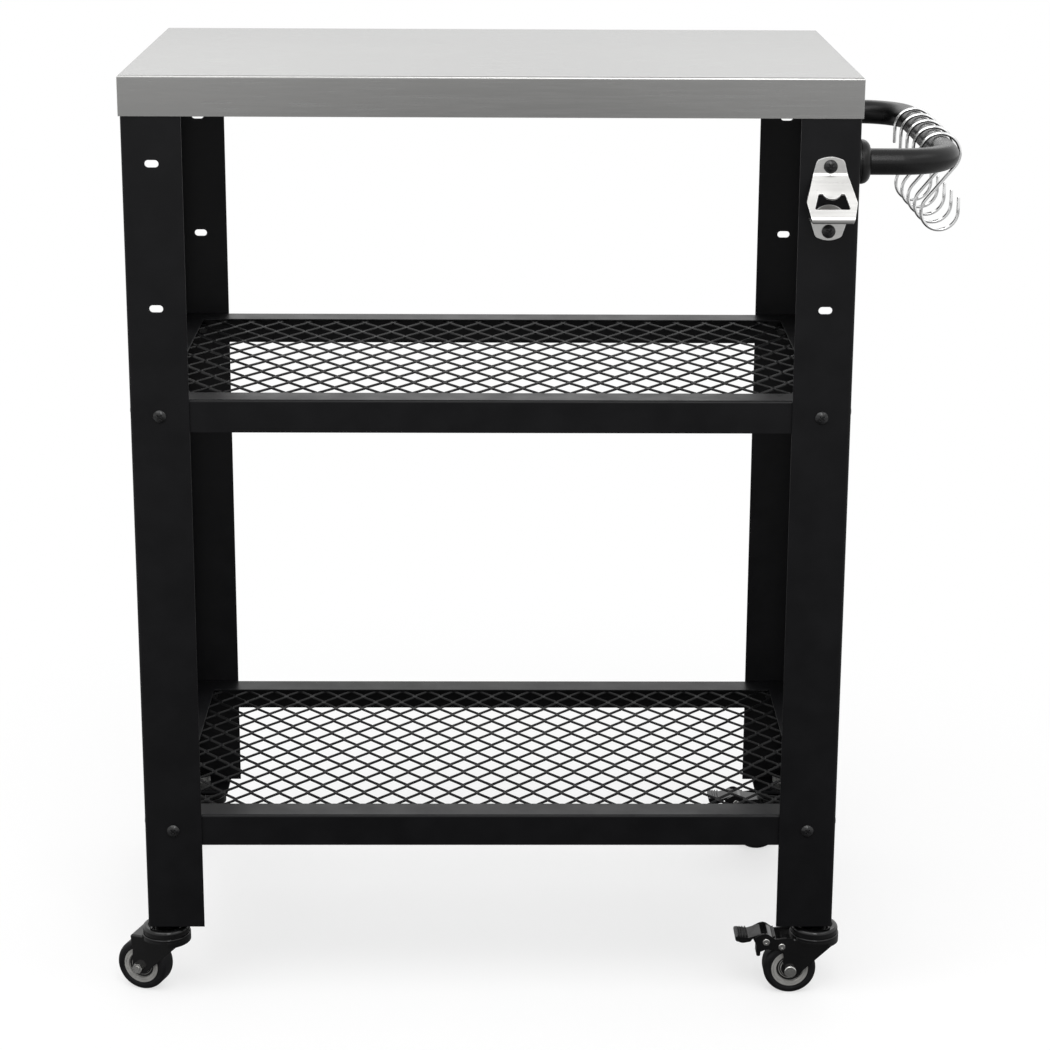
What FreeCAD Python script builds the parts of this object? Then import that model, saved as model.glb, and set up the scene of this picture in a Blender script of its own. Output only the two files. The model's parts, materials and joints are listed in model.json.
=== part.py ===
import FreeCAD, Part
import math
import os
from FreeCAD import Placement, Rotation, Vector

# Grill cart with a stainless worktop, two open shelves, a side handle with hooks and four casters.
# Sizes are in millimetres. The floor is at height 0, +X is the cart's right and +Y its back.

# Where the middle of the worktop stands, so that the origin is the middle of the whole footprint
cart_x = -39.8
cart_y = 12.9

# Clearances
sheet_play = 0.2        # between nested sheet parts
hole_play = 0.3         # round a screw's shank in a sheet
pin_play = 0.05         # round a pin or thread in its bore
running_gap = 0.4       # between pieces that move past each other

# Worktop: one folded stainless pan
top_width = 700.0
top_depth = 400.0
top_height = 943.0
top_sheet = 1.2
skirt_height = 38.5
top_bend = 2.5
corner_seam = 0.5
seam_drop = 5.0         # the seam starts this far below the top face

# Stiffening channels under the worktop
channel_length = 560.0
channel_width = 40.0
channel_lip = 12.0
channel_height = 14.0
channel_sheet = 1.2
channel_offset = 75.0

# Angle legs
leg_flange = 57.0
leg_sheet = 2.0
leg_bend = 3.0
leg_bottom = 77.0
leg_top_gap = 1.5       # below the pan, clear of the pan's inside bend

# Plates welded inside each leg
plate_side = 44.0
plate_sheet = 3.0
plate_notch = 3.0       # corner cut that clears the inside of the leg's bend

# Holes in the leg faces
slot_length = 13.3
slot_width = 7.2
upper_slot_gap = 45.0   # from the worktop's skirt down to the upper front slots and the handle
rear_slot_gap = 55.5    # from the worktop's skirt down to the upper rear slots
lower_slot_rise = 90.0  # from the upper shelf up to the lower slots

# Shelves: a folded rim with expanded sheet below its flange
upper_shelf_top = 630.0
lower_shelf_top = 198.5
shelf_apron = 32.5
shelf_flange = 30.0
shelf_sheet = 1.5
shelf_bend = 2.5
mesh_sheet = 2.0
mesh_strand = 2.4
mesh_lap = 26.0         # how far the expanded sheet runs under the flange
mesh_columns = 19
mesh_rows = 7

# Screws and nuts, 6 mm for the sheet parts and 8 mm for the handle and casters
screw_diameter = 6.0
screw_head = 13.0
screw_head_height = 3.4
screw_length = 12.0
recess_length = 6.4
recess_width = 1.3
recess_depth = 1.6
recess_turn = 45.0
nut_across = 10.0
nut_height = 5.0
bolt_diameter = 8.0
bolt_across = 13.0
bolt_head_height = 5.3
bolt_nut_height = 6.5
stud_length = 12.0

# Handle: a tube bent to a U that lies flat beside the worktop
handle_reach = 93.0     # from the leg's side face to the middle of the cross bar
tube_diameter = 25.4
tube_wall = 1.5
handle_bend = 50.0
plug_length = 14.0
collar_diameter = 42.6
collar_height = 12.2
collar_foot = 2.4       # the flat disc at the leg
collar_groove = 0.8     # the groove between the disc and the dome, as deep as it is high
collar_nose = 27.6

# Hooks on the handle's cross bar
hook_count = 5
hook_pitch = 43.5
hook_wire = 3.4
hook_upper_radius = 19.8
hook_lower_radius = 18.4
hook_drop = 57.6        # between the centres of the two loops
hook_side_step = 2.0
hook_upper_tail = 16.0
hook_lower_tail = 14.3
hook_seat_gap = 0.3

# Bottle opener on the front right leg
opener_sheet = 2.0
opener_tab_rise = 9.5   # from the upper screw to the tab's end
opener_tab_drop = 7.5   # from the upper screw to the bend
opener_tab_width = 26.0
opener_shoulder = 3.6   # between a rounded end and its shoulders
opener_point = 0.9      # how far past a rounded end its two slopes would meet
opener_end_radius = 22.0
opener_shoulder_radius = 5.2
opener_bend_width = 32.6
opener_tip_reach = 43.0  # from the leg to the sharp lip before it is rounded
opener_tip_drop = 41.0  # from the bend down to the sharp lip
opener_bend_radius = 4.0
opener_widest = 47.8
opener_widest_drop = 23.0
opener_lip_width = 36.5
opener_return_drop = 3.0
opener_hole_drop = 62.0
opener_pad_width = 34.0
opener_pad_rise = 25.5  # from the lower screw to the pad's round top
opener_pad_drop = 9.2
opener_pad_end_width = 24.8
mouth_start = 22.5      # along the sloped face, from the bend
mouth_end = 40.5
mouth_top_width = 25.0
mouth_bottom_width = 34.0
mouth_nose_radius = 9.2
mouth_nose_drop = 5.9

# Casters
caster_inset = 16.0     # from the leg's outer faces to the swivel axis
caster_trail = 25.0
left_caster_turn = -20.0
right_caster_turn = 0.0
wheel_diameter = 54.0
wheel_width = 23.0
tyre_shoulder = 4.5
hub_diameter = 38.0
hub_ring_inner = 27.0
hub_ring_dish = 0.6
hub_recess = 3.4
hub_cap_diameter = 19.0
hub_boss_diameter = 12.0
axle_diameter = 6.0
axle_head = 12.6
axle_head_height = 4.2
fork_sheet = 1.8
fork_side_gap = 1.4     # between the wheel and each side plate
fork_crown_diameter = 50.0
fork_crown_height = 60.2
fork_nose_drop = 3.8    # the crown's turned-down front edge
crown_lap = 0.5         # how far inside the crown's edge the side plates end
fork_tongue = 34.0
brake_tongue = 44.0     # the longer web that runs under the pedal's front end
fork_edge = 32.0        # trailing edge of the side plates, behind the swivel axis
fork_boss_radius = 7.5
cap_sheet = 1.5
cap_height = 11.4
cap_rim_height = 3.2
cap_groove = 0.9        # the groove between the rim and the rolled band
cap_band_diameter = 48.0
cap_band_radius = 3.4   # the rolled band's outer round
cap_dish_diameter = 33.0
cap_dish_radius = 2.6   # the rolled band's inner round
cap_dish = 3.0          # how deep the cap's middle lies below its rolled band
stem_collar = 23.4
pivot_head_diameter = 13.0
pivot_head_height = 2.6

# Brake pedals on the right-hand casters
rivet_diameter = 5.0
rivet_head = 7.2
rivet_head_height = 1.5
rivet_dimple = 2.6
pedal_pivot_back = 50.3
pedal_pivot_height = 59.0
pedal_end_back = 82.0
pedal_front_back = 41.1
pedal_height = 64.3
pedal_hump = 2.2
pedal_valley = 0.3      # the dip between the hump and the rolled front end
pedal_lip = 7.0
pedal_sheet = 1.5
pedal_boss_radius = 4.2
pedal_ridges = 4
pedal_ridge_pitch = 2.8
pedal_ridge = 1.2
shoe_back = 59.4
shoe_thickness = 4.2
shoe_bottom = 39.5
shoe_width = 14.0
spacer_rivet_back = 34.2
spacer_rivet_height = 53.8
lobe_radius = 8.0
lobe_rise = 1.5         # how far the plate's edge stands above the web beside the cap
lobe_rise_length = 6.0
lobe_gap = 0.6          # between the plate's raised edge and the cap
lobe_edge_back = 64.0
lobe_point_height = 47.6

# Sizes that follow from the ones above
half_width = top_width / 2
half_depth = top_depth / 2
leg_x = half_width - top_sheet - sheet_play
leg_y = half_depth - top_sheet - sheet_play
leg_inner_x = leg_x - leg_sheet
leg_inner_y = leg_y - leg_sheet
shelf_x = leg_inner_x - sheet_play
shelf_y = leg_inner_y - sheet_play
hole_x = leg_x - leg_flange / 2
hole_y = leg_y - leg_flange / 2
under_top = top_height - top_sheet
skirt_bottom = top_height - skirt_height
upper_slot_height = skirt_bottom - upper_slot_gap
rear_upper_slot_height = skirt_bottom - rear_slot_gap
lower_slot_height = upper_shelf_top + lower_slot_rise
handle_height = upper_slot_height
plate_middle = plate_side / 2
stud_x = leg_inner_x - plate_middle
stud_y = leg_inner_y - plate_middle
bar_x = leg_x + handle_reach
opener_upper_screw = upper_slot_height
opener_lower_screw = opener_upper_screw - opener_hole_drop
axle_height = wheel_diameter / 2
fork_inner = wheel_width / 2 + fork_side_gap
fork_outer = fork_inner + fork_sheet
fork_top = fork_crown_height + fork_sheet
cap_top = fork_top + cap_height
cap_seat = cap_top - cap_dish
leg_top = under_top - leg_top_gap
swivel_x = leg_x - caster_inset
swivel_y = leg_y - caster_inset


def box(x, y, z):
    """A block between the given pairs of limits."""
    low = Vector(min(x), min(y), min(z))
    return Part.makeBox(max(x) - low.x, max(y) - low.y, max(z) - low.z, low)


def rod(diameter, length, start, direction):
    """A round bar from a start point along a direction."""
    return Part.makeCylinder(diameter / 2, length, start, direction)


def slab(points, thickness):
    """A flat outline pushed along the thickness vector."""
    return Part.Face(Part.makePolygon(points + points[:1])).extrude(thickness)


def rounded_face(corners):
    """A flat face whose outline passes (point, radius) corners, each rounded by its radius."""
    count = len(corners)
    turns = []
    for index, (point, radius) in enumerate(corners):
        if radius <= 0:
            turns.append((point, None, point))
            continue
        before = (corners[index - 1][0] - point).normalize()
        after = (corners[(index + 1) % count][0] - point).normalize()
        half = before.getAngle(after) / 2
        run = radius / math.tan(half)
        inward = (before + after).normalize()
        middle = point + inward * (radius / math.sin(half) - radius)
        turns.append((point + before * run, middle, point + after * run))
    edges = []
    for index, (start, middle, end) in enumerate(turns):
        if middle is not None:
            edges.append(Part.Arc(start, middle, end).toShape())
        following = turns[(index + 1) % count][0]
        if end.distanceToPoint(following) > 1e-6:
            edges.append(Part.makeLine(end, following))
    return Part.Face(Part.Wire(edges))


def rounded_slab(corners, thickness):
    """A rounded outline pushed along the thickness vector."""
    return rounded_face(corners).extrude(thickness)


def turned(points):
    """A profile of (radius, height) points turned round the upright axis."""
    corners = [Vector(r, 0, z) for r, z in points]
    face = Part.Face(Part.makePolygon(corners + corners[:1]))
    return face.revolve(Vector(0, 0, 0), Vector(0, 0, 1), 360)


def aimed(shape, place, direction):
    """A copy of a shape made along +Z, turned to a direction and moved to a place."""
    copy = shape.copy()
    copy.Placement = Placement(place, Rotation(Vector(0, 0, 1), direction)).multiply(copy.Placement)
    return copy


def cut(shape, tools):
    """The shape with all the tools taken out of it."""
    return shape.cut(Part.makeCompound(tools))


def united(shapes):
    """Several touching shapes as one clean solid."""
    return shapes[0].multiFuse(shapes[1:]).removeSplitter()


def corner(shape, side, end):
    """A shape made for the front left corner, mirrored to the corner with the given signs."""
    if side > 0:
        shape = shape.mirror(Vector(0, 0, 0), Vector(1, 0, 0))
    if end > 0:
        shape = shape.mirror(Vector(0, 0, 0), Vector(0, 1, 0))
    return shape


def corners():
    """The signs of the four corners: side is -1 on the left, end is -1 at the front."""
    return [(side, end) for end in (-1, 1) for side in (-1, 1)]


def edges_along(shape, axis, test):
    """The straight edges of a shape that run along an axis and whose middle passes a test."""
    chosen = []
    for edge in shape.Edges:
        if not isinstance(edge.Curve, (Part.Line, Part.LineSegment)):
            continue
        run = edge.Vertexes[-1].Point - edge.Vertexes[0].Point
        if run.cross(axis).Length < 1e-6 and test(edge.CenterOfMass):
            chosen.append(edge)
    return chosen


# Screws, nuts and bolts are made along +Z with their seat at height 0


def pan_screw(length):
    """A pan-head screw with a cross recess, its shank running down from the seat."""
    radius = screw_head / 2
    crown = screw_head_height
    rim = Part.makeLine(Vector(0, 0, 0), Vector(radius, 0, 0))
    wall = Part.makeLine(Vector(radius, 0, 0), Vector(radius, 0, crown * 0.35))
    dome = Part.Arc(
        Vector(radius, 0, crown * 0.35), Vector(radius * 0.75, 0, crown * 0.8), Vector(0, 0, crown)
    ).toShape()
    axis = Part.makeLine(Vector(0, 0, crown), Vector(0, 0, 0))
    head = Part.Face(Part.Wire([rim, wall, dome, axis])).revolve(Vector(0, 0, 0), Vector(0, 0, 1), 360)
    half, wide = recess_length / 2, recess_width / 2
    floor = crown - recess_depth
    slots = [
        box((-half, half), (-wide, wide), (floor, crown + 1)),
        box((-wide, wide), (-half, half), (floor, crown + 1)),
    ]
    for slot in slots:
        slot.rotate(Vector(0, 0, 0), Vector(0, 0, 1), recess_turn)
    shank = rod(screw_diameter, length, Vector(0, 0, -length), Vector(0, 0, 1))
    return cut(united([head, shank]), slots)


def hexagon(across, height):
    """A six-sided block."""
    reach = across / math.sqrt(3)
    angles = [math.radians(60 * step) for step in range(6)]
    points = [Vector(reach * math.cos(a), reach * math.sin(a), 0) for a in angles]
    return slab(points, Vector(0, 0, height))


def hex_nut(across, height, diameter):
    """A nut whose bore is just clear of the thread that it holds."""
    bore = rod(diameter + 2 * pin_play, height, Vector(0, 0, 0), Vector(0, 0, 1))
    return hexagon(across, height).cut(bore)


def hex_bolt(length):
    """A hexagon-head bolt, its shank running down from the seat."""
    shank = rod(bolt_diameter, length, Vector(0, 0, -length), Vector(0, 0, 1))
    return united([hexagon(bolt_across, bolt_head_height), shank])


# Worktop


def worktop():
    """The folded pan with its corner seams and the weld studs below it."""
    low = skirt_bottom
    outer = box((-half_width, half_width), (-half_depth, half_depth), (low, top_height))
    rim = [e for e in outer.Edges if abs(e.CenterOfMass.z - top_height) < 1e-6]
    outer = outer.makeFillet(top_bend, rim)
    inner_x, inner_y = half_width - top_sheet, half_depth - top_sheet
    inner = box((-inner_x, inner_x), (-inner_y, inner_y), (low - 1, under_top))
    rim = [e for e in inner.Edges if abs(e.CenterOfMass.z - under_top) < 1e-6]
    inner = inner.makeFillet(top_bend - top_sheet, rim)
    seams = []
    for side, end in corners():
        seam = box(
            (-half_width - 1, -inner_x + 1),
            (-inner_y - corner_seam, -inner_y),
            (low - 1, top_height - seam_drop),
        )
        seams.append(corner(seam.cut(inner), side, end))
    pan = cut(outer.cut(inner), seams)
    studs = [
        rod(screw_diameter, stud_length, Vector(side * stud_x, end * stud_y, under_top), Vector(0, 0, -1))
        for side, end in corners()
    ]
    return united([pan] + studs)


def worktop_stiffeners():
    """Two hat channels spot-welded under the pan."""
    half = channel_width / 2
    base = under_top - channel_height
    wall = channel_sheet
    outline = [
        (half + channel_lip, under_top),
        (half + channel_lip, under_top - wall),
        (half, under_top - wall),
        (half, base),
        (-half, base),
        (-half, under_top - wall),
        (-half - channel_lip, under_top - wall),
        (-half - channel_lip, under_top),
        (-half + wall, under_top),
        (-half + wall, base + wall),
        (half - wall, base + wall),
        (half - wall, under_top),
    ]
    start = -channel_length / 2
    channels = []
    for middle in (-channel_offset, channel_offset):
        points = [Vector(start, middle + y, z) for y, z in outline]
        channels.append(slab(points, Vector(channel_length, 0, 0)))
    return Part.makeCompound(channels)


# Legs


def slot_cutter(x, z):
    """A level slot through the front flange of the front left leg."""
    half = (slot_length - slot_width) / 2
    y = -leg_y - 1
    through = Vector(0, leg_sheet + 2, 0)
    ends = [rod(slot_width, leg_sheet + 2, Vector(x + step, y, z), Vector(0, 1, 0)) for step in (-half, half)]
    middle = box((x - half, x + half), (y, y + through.y), (z - slot_width / 2, z + slot_width / 2))
    return united([middle] + ends)


def front_hole(x, z, diameter):
    """A round hole through the front flange of the front left leg and what lies behind it."""
    return rod(diameter, leg_flange / 2, Vector(x, -leg_y - 1, z), Vector(0, 1, 0))


def side_hole(y, z, diameter):
    """A round hole through the side flange of the front left leg and what lies behind it."""
    return rod(diameter, leg_flange / 2, Vector(-leg_x - 1, y, z), Vector(1, 0, 0))


def shelf_screw_heights():
    """The middle of each shelf's apron."""
    return [top - shelf_apron / 2 for top in (upper_shelf_top, lower_shelf_top)]


def leg(side, end):
    """One angle leg with its slots, screw holes and, on the right, the handle's bolt hole."""
    x, y = -leg_x, -leg_y
    outline = [
        (x, y),
        (x + leg_flange, y),
        (x + leg_flange, y + leg_sheet),
        (x + leg_sheet, y + leg_sheet),
        (x + leg_sheet, y + leg_flange),
        (x, y + leg_flange),
    ]
    points = [Vector(px, py, leg_bottom) for px, py in outline]
    body = slab(points, Vector(0, 0, leg_top - leg_bottom))
    up = Vector(0, 0, 1)
    outside = edges_along(body, up, lambda p: abs(p.x - x) < 1e-6 and abs(p.y - y) < 1e-6)
    body = body.makeFillet(leg_bend, outside)
    inside = edges_along(
        body, up, lambda p: abs(p.x - x - leg_sheet) < 1e-6 and abs(p.y - y - leg_sheet) < 1e-6
    )
    body = body.makeFillet(leg_bend - leg_sheet, inside)
    upper = upper_slot_height if end < 0 else rear_upper_slot_height
    tools = [slot_cutter(-hole_x, upper), slot_cutter(-hole_x, lower_slot_height)]
    for height in shelf_screw_heights():
        tools.append(front_hole(-hole_x, height, screw_diameter + 2 * hole_play))
        tools.append(side_hole(-hole_y, height, screw_diameter + 2 * hole_play))
    if side > 0:
        tools.append(side_hole(-hole_y, handle_height, bolt_diameter + 2 * hole_play))
    if side > 0 and end < 0:
        tools.append(front_hole(-hole_x, opener_lower_screw, screw_diameter + 2 * hole_play))
    return corner(cut(body, tools), side, end)


def corner_plate(base, hole_at, hole_diameter):
    """A square plate welded inside the front left leg, notched at the leg's bend."""
    x, y = -leg_inner_x, -leg_inner_y
    points = [
        Vector(x + plate_notch, y, base),
        Vector(x + plate_side, y, base),
        Vector(x + plate_side, y + plate_side, base),
        Vector(x, y + plate_side, base),
        Vector(x, y + plate_notch, base),
    ]
    hole = rod(hole_diameter, plate_sheet + 2, Vector(hole_at[0], hole_at[1], base - 1), Vector(0, 0, 1))
    return slab(points, Vector(0, 0, plate_sheet)).cut(hole)


def leg_top_plates():
    """The plates that the worktop's studs pass through."""
    plate = corner_plate(under_top - plate_sheet, (-stud_x, -stud_y), screw_diameter + 2 * hole_play)
    return Part.makeCompound([corner(plate, side, end) for side, end in corners()])


def caster_seat_plates():
    """The plates that the caster stems pass through."""
    plate = corner_plate(leg_bottom, (-swivel_x, -swivel_y), bolt_diameter + 2 * hole_play)
    return Part.makeCompound([corner(plate, side, end) for side, end in corners()])


def worktop_nuts():
    """Nuts on the worktop's studs, below the leg plates."""
    nut = hex_nut(nut_across, nut_height, screw_diameter)
    seat = under_top - plate_sheet - nut_height
    places = [Vector(side * stud_x, end * stud_y, seat) for side, end in corners()]
    return Part.makeCompound([aimed(nut, place, Vector(0, 0, 1)) for place in places])


# Shelves


def shelf_frame(top):
    """The folded rim: an apron on four sides and a flange that turns inward at the top."""
    low = top - shelf_apron
    outer = box((-shelf_x, shelf_x), (-shelf_y, shelf_y), (low, top))
    upright = edges_along(outer, Vector(0, 0, 1), lambda p: True)
    outer = outer.makeFillet(leg_bend, upright)
    rim = [e for e in outer.Edges if abs(e.CenterOfMass.z - top) < 1e-6]
    outer = outer.makeFillet(shelf_bend, rim)
    inner_x, inner_y = shelf_x - shelf_sheet, shelf_y - shelf_sheet
    inner = box((-inner_x, inner_x), (-inner_y, inner_y), (low - 1, top - shelf_sheet))
    inner = inner.makeFillet(leg_bend - shelf_sheet, edges_along(inner, Vector(0, 0, 1), lambda p: True))
    rim = [e for e in inner.Edges if abs(e.CenterOfMass.z - top + shelf_sheet) < 1e-6]
    inner = inner.makeFillet(shelf_bend - shelf_sheet, rim)
    window_x, window_y = shelf_x - shelf_flange, shelf_y - shelf_flange
    window = box((-window_x, window_x), (-window_y, window_y), (low, top + 1))
    height = top - shelf_apron / 2
    holes = []
    for side, end in corners():
        holes.append(corner(front_hole(-hole_x, height, screw_diameter + 2 * hole_play), side, end))
        holes.append(corner(side_hole(-hole_y, height, screw_diameter + 2 * hole_play), side, end))
    return cut(outer, [inner, window] + holes)


def diamond(x, y, z, half_x, half_y):
    """The closed outline of one opening in the expanded sheet."""
    points = [
        Vector(x - half_x, y, z),
        Vector(x, y - half_y, z),
        Vector(x + half_x, y, z),
        Vector(x, y + half_y, z),
    ]
    return Part.makePolygon(points + points[:1])


def shelf_mesh(top):
    """The expanded sheet under the flange, one face with staggered diamond openings."""
    window_x, window_y = shelf_x - shelf_flange, shelf_y - shelf_flange
    reach_x, reach_y = window_x + mesh_lap, window_y + mesh_lap
    z = top - shelf_sheet - mesh_sheet
    pitch_x, pitch_y = 2 * window_x / mesh_columns, 2 * window_y / mesh_rows
    # the openings keep half a strand, measured square to it, on each side
    slope = math.hypot(pitch_x, pitch_y)
    half_x = pitch_x / 2 - mesh_strand / 2 * slope / pitch_y
    half_y = pitch_y / 2 - mesh_strand / 2 * slope / pitch_x
    openings = []
    for column in range(2 * mesh_columns + 1):
        for row in range(2 * mesh_rows + 1):
            if (column + row) % 2:
                continue
            x = -window_x + column * pitch_x / 2
            y = -window_y + row * pitch_y / 2
            openings.append(diamond(x, y, z, half_x, half_y))
    sheet = [
        Vector(-reach_x, -reach_y, z),
        Vector(reach_x, -reach_y, z),
        Vector(reach_x, reach_y, z),
        Vector(-reach_x, reach_y, z),
    ]
    outline = Part.makePolygon(sheet + sheet[:1])
    return Part.Face([outline] + openings).extrude(Vector(0, 0, mesh_sheet))


def shelf_fasteners(top):
    """Eight screws from outside the legs and the eight nuts behind the aprons."""
    height = top - shelf_apron / 2
    nut_seat = sheet_play + leg_sheet + shelf_sheet
    screw = pan_screw(screw_length)
    nut = hex_nut(nut_across, nut_height, screw_diameter)
    screws, nuts = [], []
    for side, end in corners():
        front = Vector(0, end, 0)
        place = Vector(side * hole_x, end * leg_y, height)
        screws.append(aimed(screw, place, front))
        nuts.append(aimed(nut, place - front * (nut_seat + nut_height), front))
        flank = Vector(side, 0, 0)
        place = Vector(side * leg_x, end * hole_y, height)
        screws.append(aimed(screw, place, flank))
        nuts.append(aimed(nut, place - flank * (nut_seat + nut_height), flank))
    return Part.makeCompound(screws), Part.makeCompound(nuts)


# Handle and hooks


def handle_route():
    """The U that the tube's centre follows, from the front arm to the rear arm."""
    z = handle_height
    turn = handle_bend * (1 - math.sqrt(0.5))
    start = Vector(leg_x, -hole_y, z)
    arm_end = Vector(bar_x - handle_bend, -hole_y, z)
    front_mid = Vector(bar_x - turn, -hole_y + turn, z)
    bar_start = Vector(bar_x, -hole_y + handle_bend, z)
    rear = [Vector(p.x, -p.y, p.z) for p in (start, arm_end, front_mid, bar_start)]
    pieces = [
        Part.makeLine(start, arm_end),
        Part.Arc(arm_end, front_mid, bar_start).toShape(),
        Part.makeLine(bar_start, rear[3]),
        Part.Arc(rear[3], rear[2], rear[1]).toShape(),
        Part.makeLine(rear[1], rear[0]),
    ]
    return Part.Wire(pieces)


def swept(route, diameter):
    """A round section pushed along a route."""
    start = route.Edges[0].valueAt(route.Edges[0].FirstParameter)
    heading = route.Edges[0].tangentAt(route.Edges[0].FirstParameter)
    section = Part.Wire(Part.makeCircle(diameter / 2, start, heading))
    return route.makePipeShell([section], True, False)


def handle_tube():
    """The bent tube, open inside."""
    route = handle_route()
    return swept(route, tube_diameter).cut(swept(route, tube_diameter - 2 * tube_wall))


def handle_end_plugs():
    """Threaded plugs welded into the tube's two ends."""
    plug = rod(tube_diameter - 2 * tube_wall, plug_length, Vector(0, 0, 0), Vector(0, 0, 1))
    bore = rod(bolt_diameter + 2 * pin_play, plug_length, Vector(0, 0, 0), Vector(0, 0, 1))
    plug = plug.cut(bore)
    places = [Vector(leg_x, end * hole_y, handle_height) for end in (-1, 1)]
    return Part.makeCompound([aimed(plug, place, Vector(1, 0, 0)) for place in places])


def handle_collars():
    """Domed collars, grooved above the foot, that cover the joints between the tube and the legs."""
    bore = tube_diameter / 2 + sheet_play
    outer, nose = collar_diameter / 2, collar_nose / 2
    waist = outer - collar_groove
    spring = collar_foot + collar_groove
    foot = [(bore, 0), (outer, 0), (outer, collar_foot)]
    neck = [(waist, collar_foot), (waist, spring), (outer, spring)]
    points = [Vector(r, 0, z) for r, z in foot + neck]
    bulge = math.sin(math.pi / 4)
    shoulder = Vector(nose + (outer - nose) * bulge, 0, spring + (collar_height - spring) * bulge)
    tip = Vector(nose, 0, collar_height)
    lines = [Part.makeLine(a, b) for a, b in zip(points, points[1:])]
    dome = Part.Arc(points[-1], shoulder, tip).toShape()
    back = [
        Part.makeLine(tip, Vector(bore, 0, collar_height)),
        Part.makeLine(Vector(bore, 0, collar_height), points[0]),
    ]
    face = Part.Face(Part.Wire(lines + [dome] + back))
    collar = face.revolve(Vector(0, 0, 0), Vector(0, 0, 1), 360)
    places = [Vector(leg_x, end * hole_y, handle_height) for end in (-1, 1)]
    return Part.makeCompound([aimed(collar, place, Vector(1, 0, 0)) for place in places])


def handle_bolts():
    """Bolts from inside the right-hand legs into the tube's plugs."""
    bolt = hex_bolt(leg_sheet + plug_length - 2)
    places = [Vector(leg_inner_x, end * hole_y, handle_height) for end in (-1, 1)]
    return Part.makeCompound([aimed(bolt, place, Vector(-1, 0, 0)) for place in places])


def hook_centre_height():
    """The middle of a hook's upper loop, which hangs on the top of the tube."""
    inner_top = handle_height + tube_diameter / 2 + hook_seat_gap
    return inner_top + hook_wire / 2 - hook_upper_radius


def on_circle(centre, radius, angle):
    """The point of a circle in the upright plane across the cross bar."""
    return centre + Vector(radius * math.cos(angle), 0, radius * math.sin(angle))


def hook_route(y):
    """The S that the hook's wire follows, in the plane across the cross bar."""
    top, low = hook_upper_radius, hook_lower_radius
    upper = Vector(bar_x, y, hook_centre_height())
    lower = upper + Vector(hook_side_step, 0, -hook_drop)
    # the straight middle touches both loops on their inner sides
    span = lower - upper
    lean = math.asin((top + low) / span.Length)
    down = math.atan2(span.z, span.x)
    touch = down + math.pi / 2 - lean
    leave = on_circle(upper, top, touch)
    meet = on_circle(lower, low, touch + math.pi)
    tail_top = on_circle(upper, top, math.pi)
    tail_end = tail_top - Vector(0, 0, hook_upper_tail)
    tip_low = on_circle(lower, low, 2 * math.pi)
    tip_end = tip_low + Vector(0, 0, hook_lower_tail)
    upper_mid = on_circle(upper, top, (math.pi + touch) / 2)
    lower_mid = on_circle(lower, low, (touch + math.pi + 2 * math.pi) / 2)
    return Part.Wire(
        [
            Part.makeLine(tail_end, tail_top),
            Part.Arc(tail_top, upper_mid, leave).toShape(),
            Part.makeLine(leave, meet),
            Part.Arc(meet, lower_mid, tip_low).toShape(),
            Part.makeLine(tip_low, tip_end),
        ]
    )


def hook(number):
    """One S-hook, counted from the front."""
    y = (number - (hook_count - 1) / 2) * hook_pitch
    return swept(hook_route(y), hook_wire)


# Bottle opener


def opener_strip(width):
    """The bent strip, as wide as asked: tab, sloped face, folded lip and return to the leg."""
    sheet = opener_sheet
    top = opener_upper_screw + opener_tab_rise
    bend = opener_upper_screw - opener_tab_drop
    tip = bend - opener_tip_drop
    foot = tip - opener_return_drop
    slope = math.atan2(opener_tip_reach - sheet, opener_tip_drop)
    # the inner corner of the bend, and the inner corner of the lip between the face and the return
    inner_bend = bend - sheet * math.tan(slope / 2)
    dip = math.atan2(opener_return_drop, opener_tip_reach)
    fold = math.pi / 2 - slope + dip
    run = sheet / math.sin(fold / 2)
    aim = math.pi / 2 - slope - fold / 2
    inner_tip = (opener_tip_reach - run * math.cos(aim), tip + run * math.sin(aim))
    corners = [
        (0, top, 0),
        (sheet, top, 0),
        (sheet, bend, opener_bend_radius),
        (opener_tip_reach, tip, opener_bend_radius),
        (0, foot, 0),
        (0, foot + sheet, 0),
        (inner_tip[0], inner_tip[1], opener_bend_radius - sheet),
        (0, inner_bend, opener_bend_radius + sheet),
    ]
    start = hole_x - width / 2
    placed = [(Vector(start, -leg_y - out, z), radius) for out, z, radius in corners]
    return rounded_slab(placed, Vector(width, 0, 0))


def opener_end(half, end, shoulder):
    """The corners of a rounded end as (offset from the middle, height, radius), right shoulder first."""
    point = end + opener_point if end > shoulder else end - opener_point
    turn = opener_shoulder_radius
    return [(half, shoulder, turn), (0, point, opener_end_radius), (-half, shoulder, turn)]


def opener_outline():
    """The opener seen from the front, pushed through its whole depth."""
    top = opener_upper_screw + opener_tab_rise
    bend = opener_upper_screw - opener_tab_drop
    low = bend - opener_tip_drop - opener_return_drop - 1
    halves = [
        (opener_bend_width / 2, bend, 0),
        (opener_widest / 2, bend - opener_widest_drop, opener_bend_radius),
        (opener_lip_width / 2, low, 0),
    ]
    right = [(half, z, radius) for half, z, radius in reversed(halves)]
    left = [(-half, z, radius) for half, z, radius in halves]
    outline = right + opener_end(opener_tab_width / 2, top, top - opener_shoulder) + left
    placed = [(Vector(hole_x + offset, -leg_y + 1, z), radius) for offset, z, radius in outline]
    return rounded_slab(placed, Vector(0, -opener_tip_reach - 2, 0))


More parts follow.
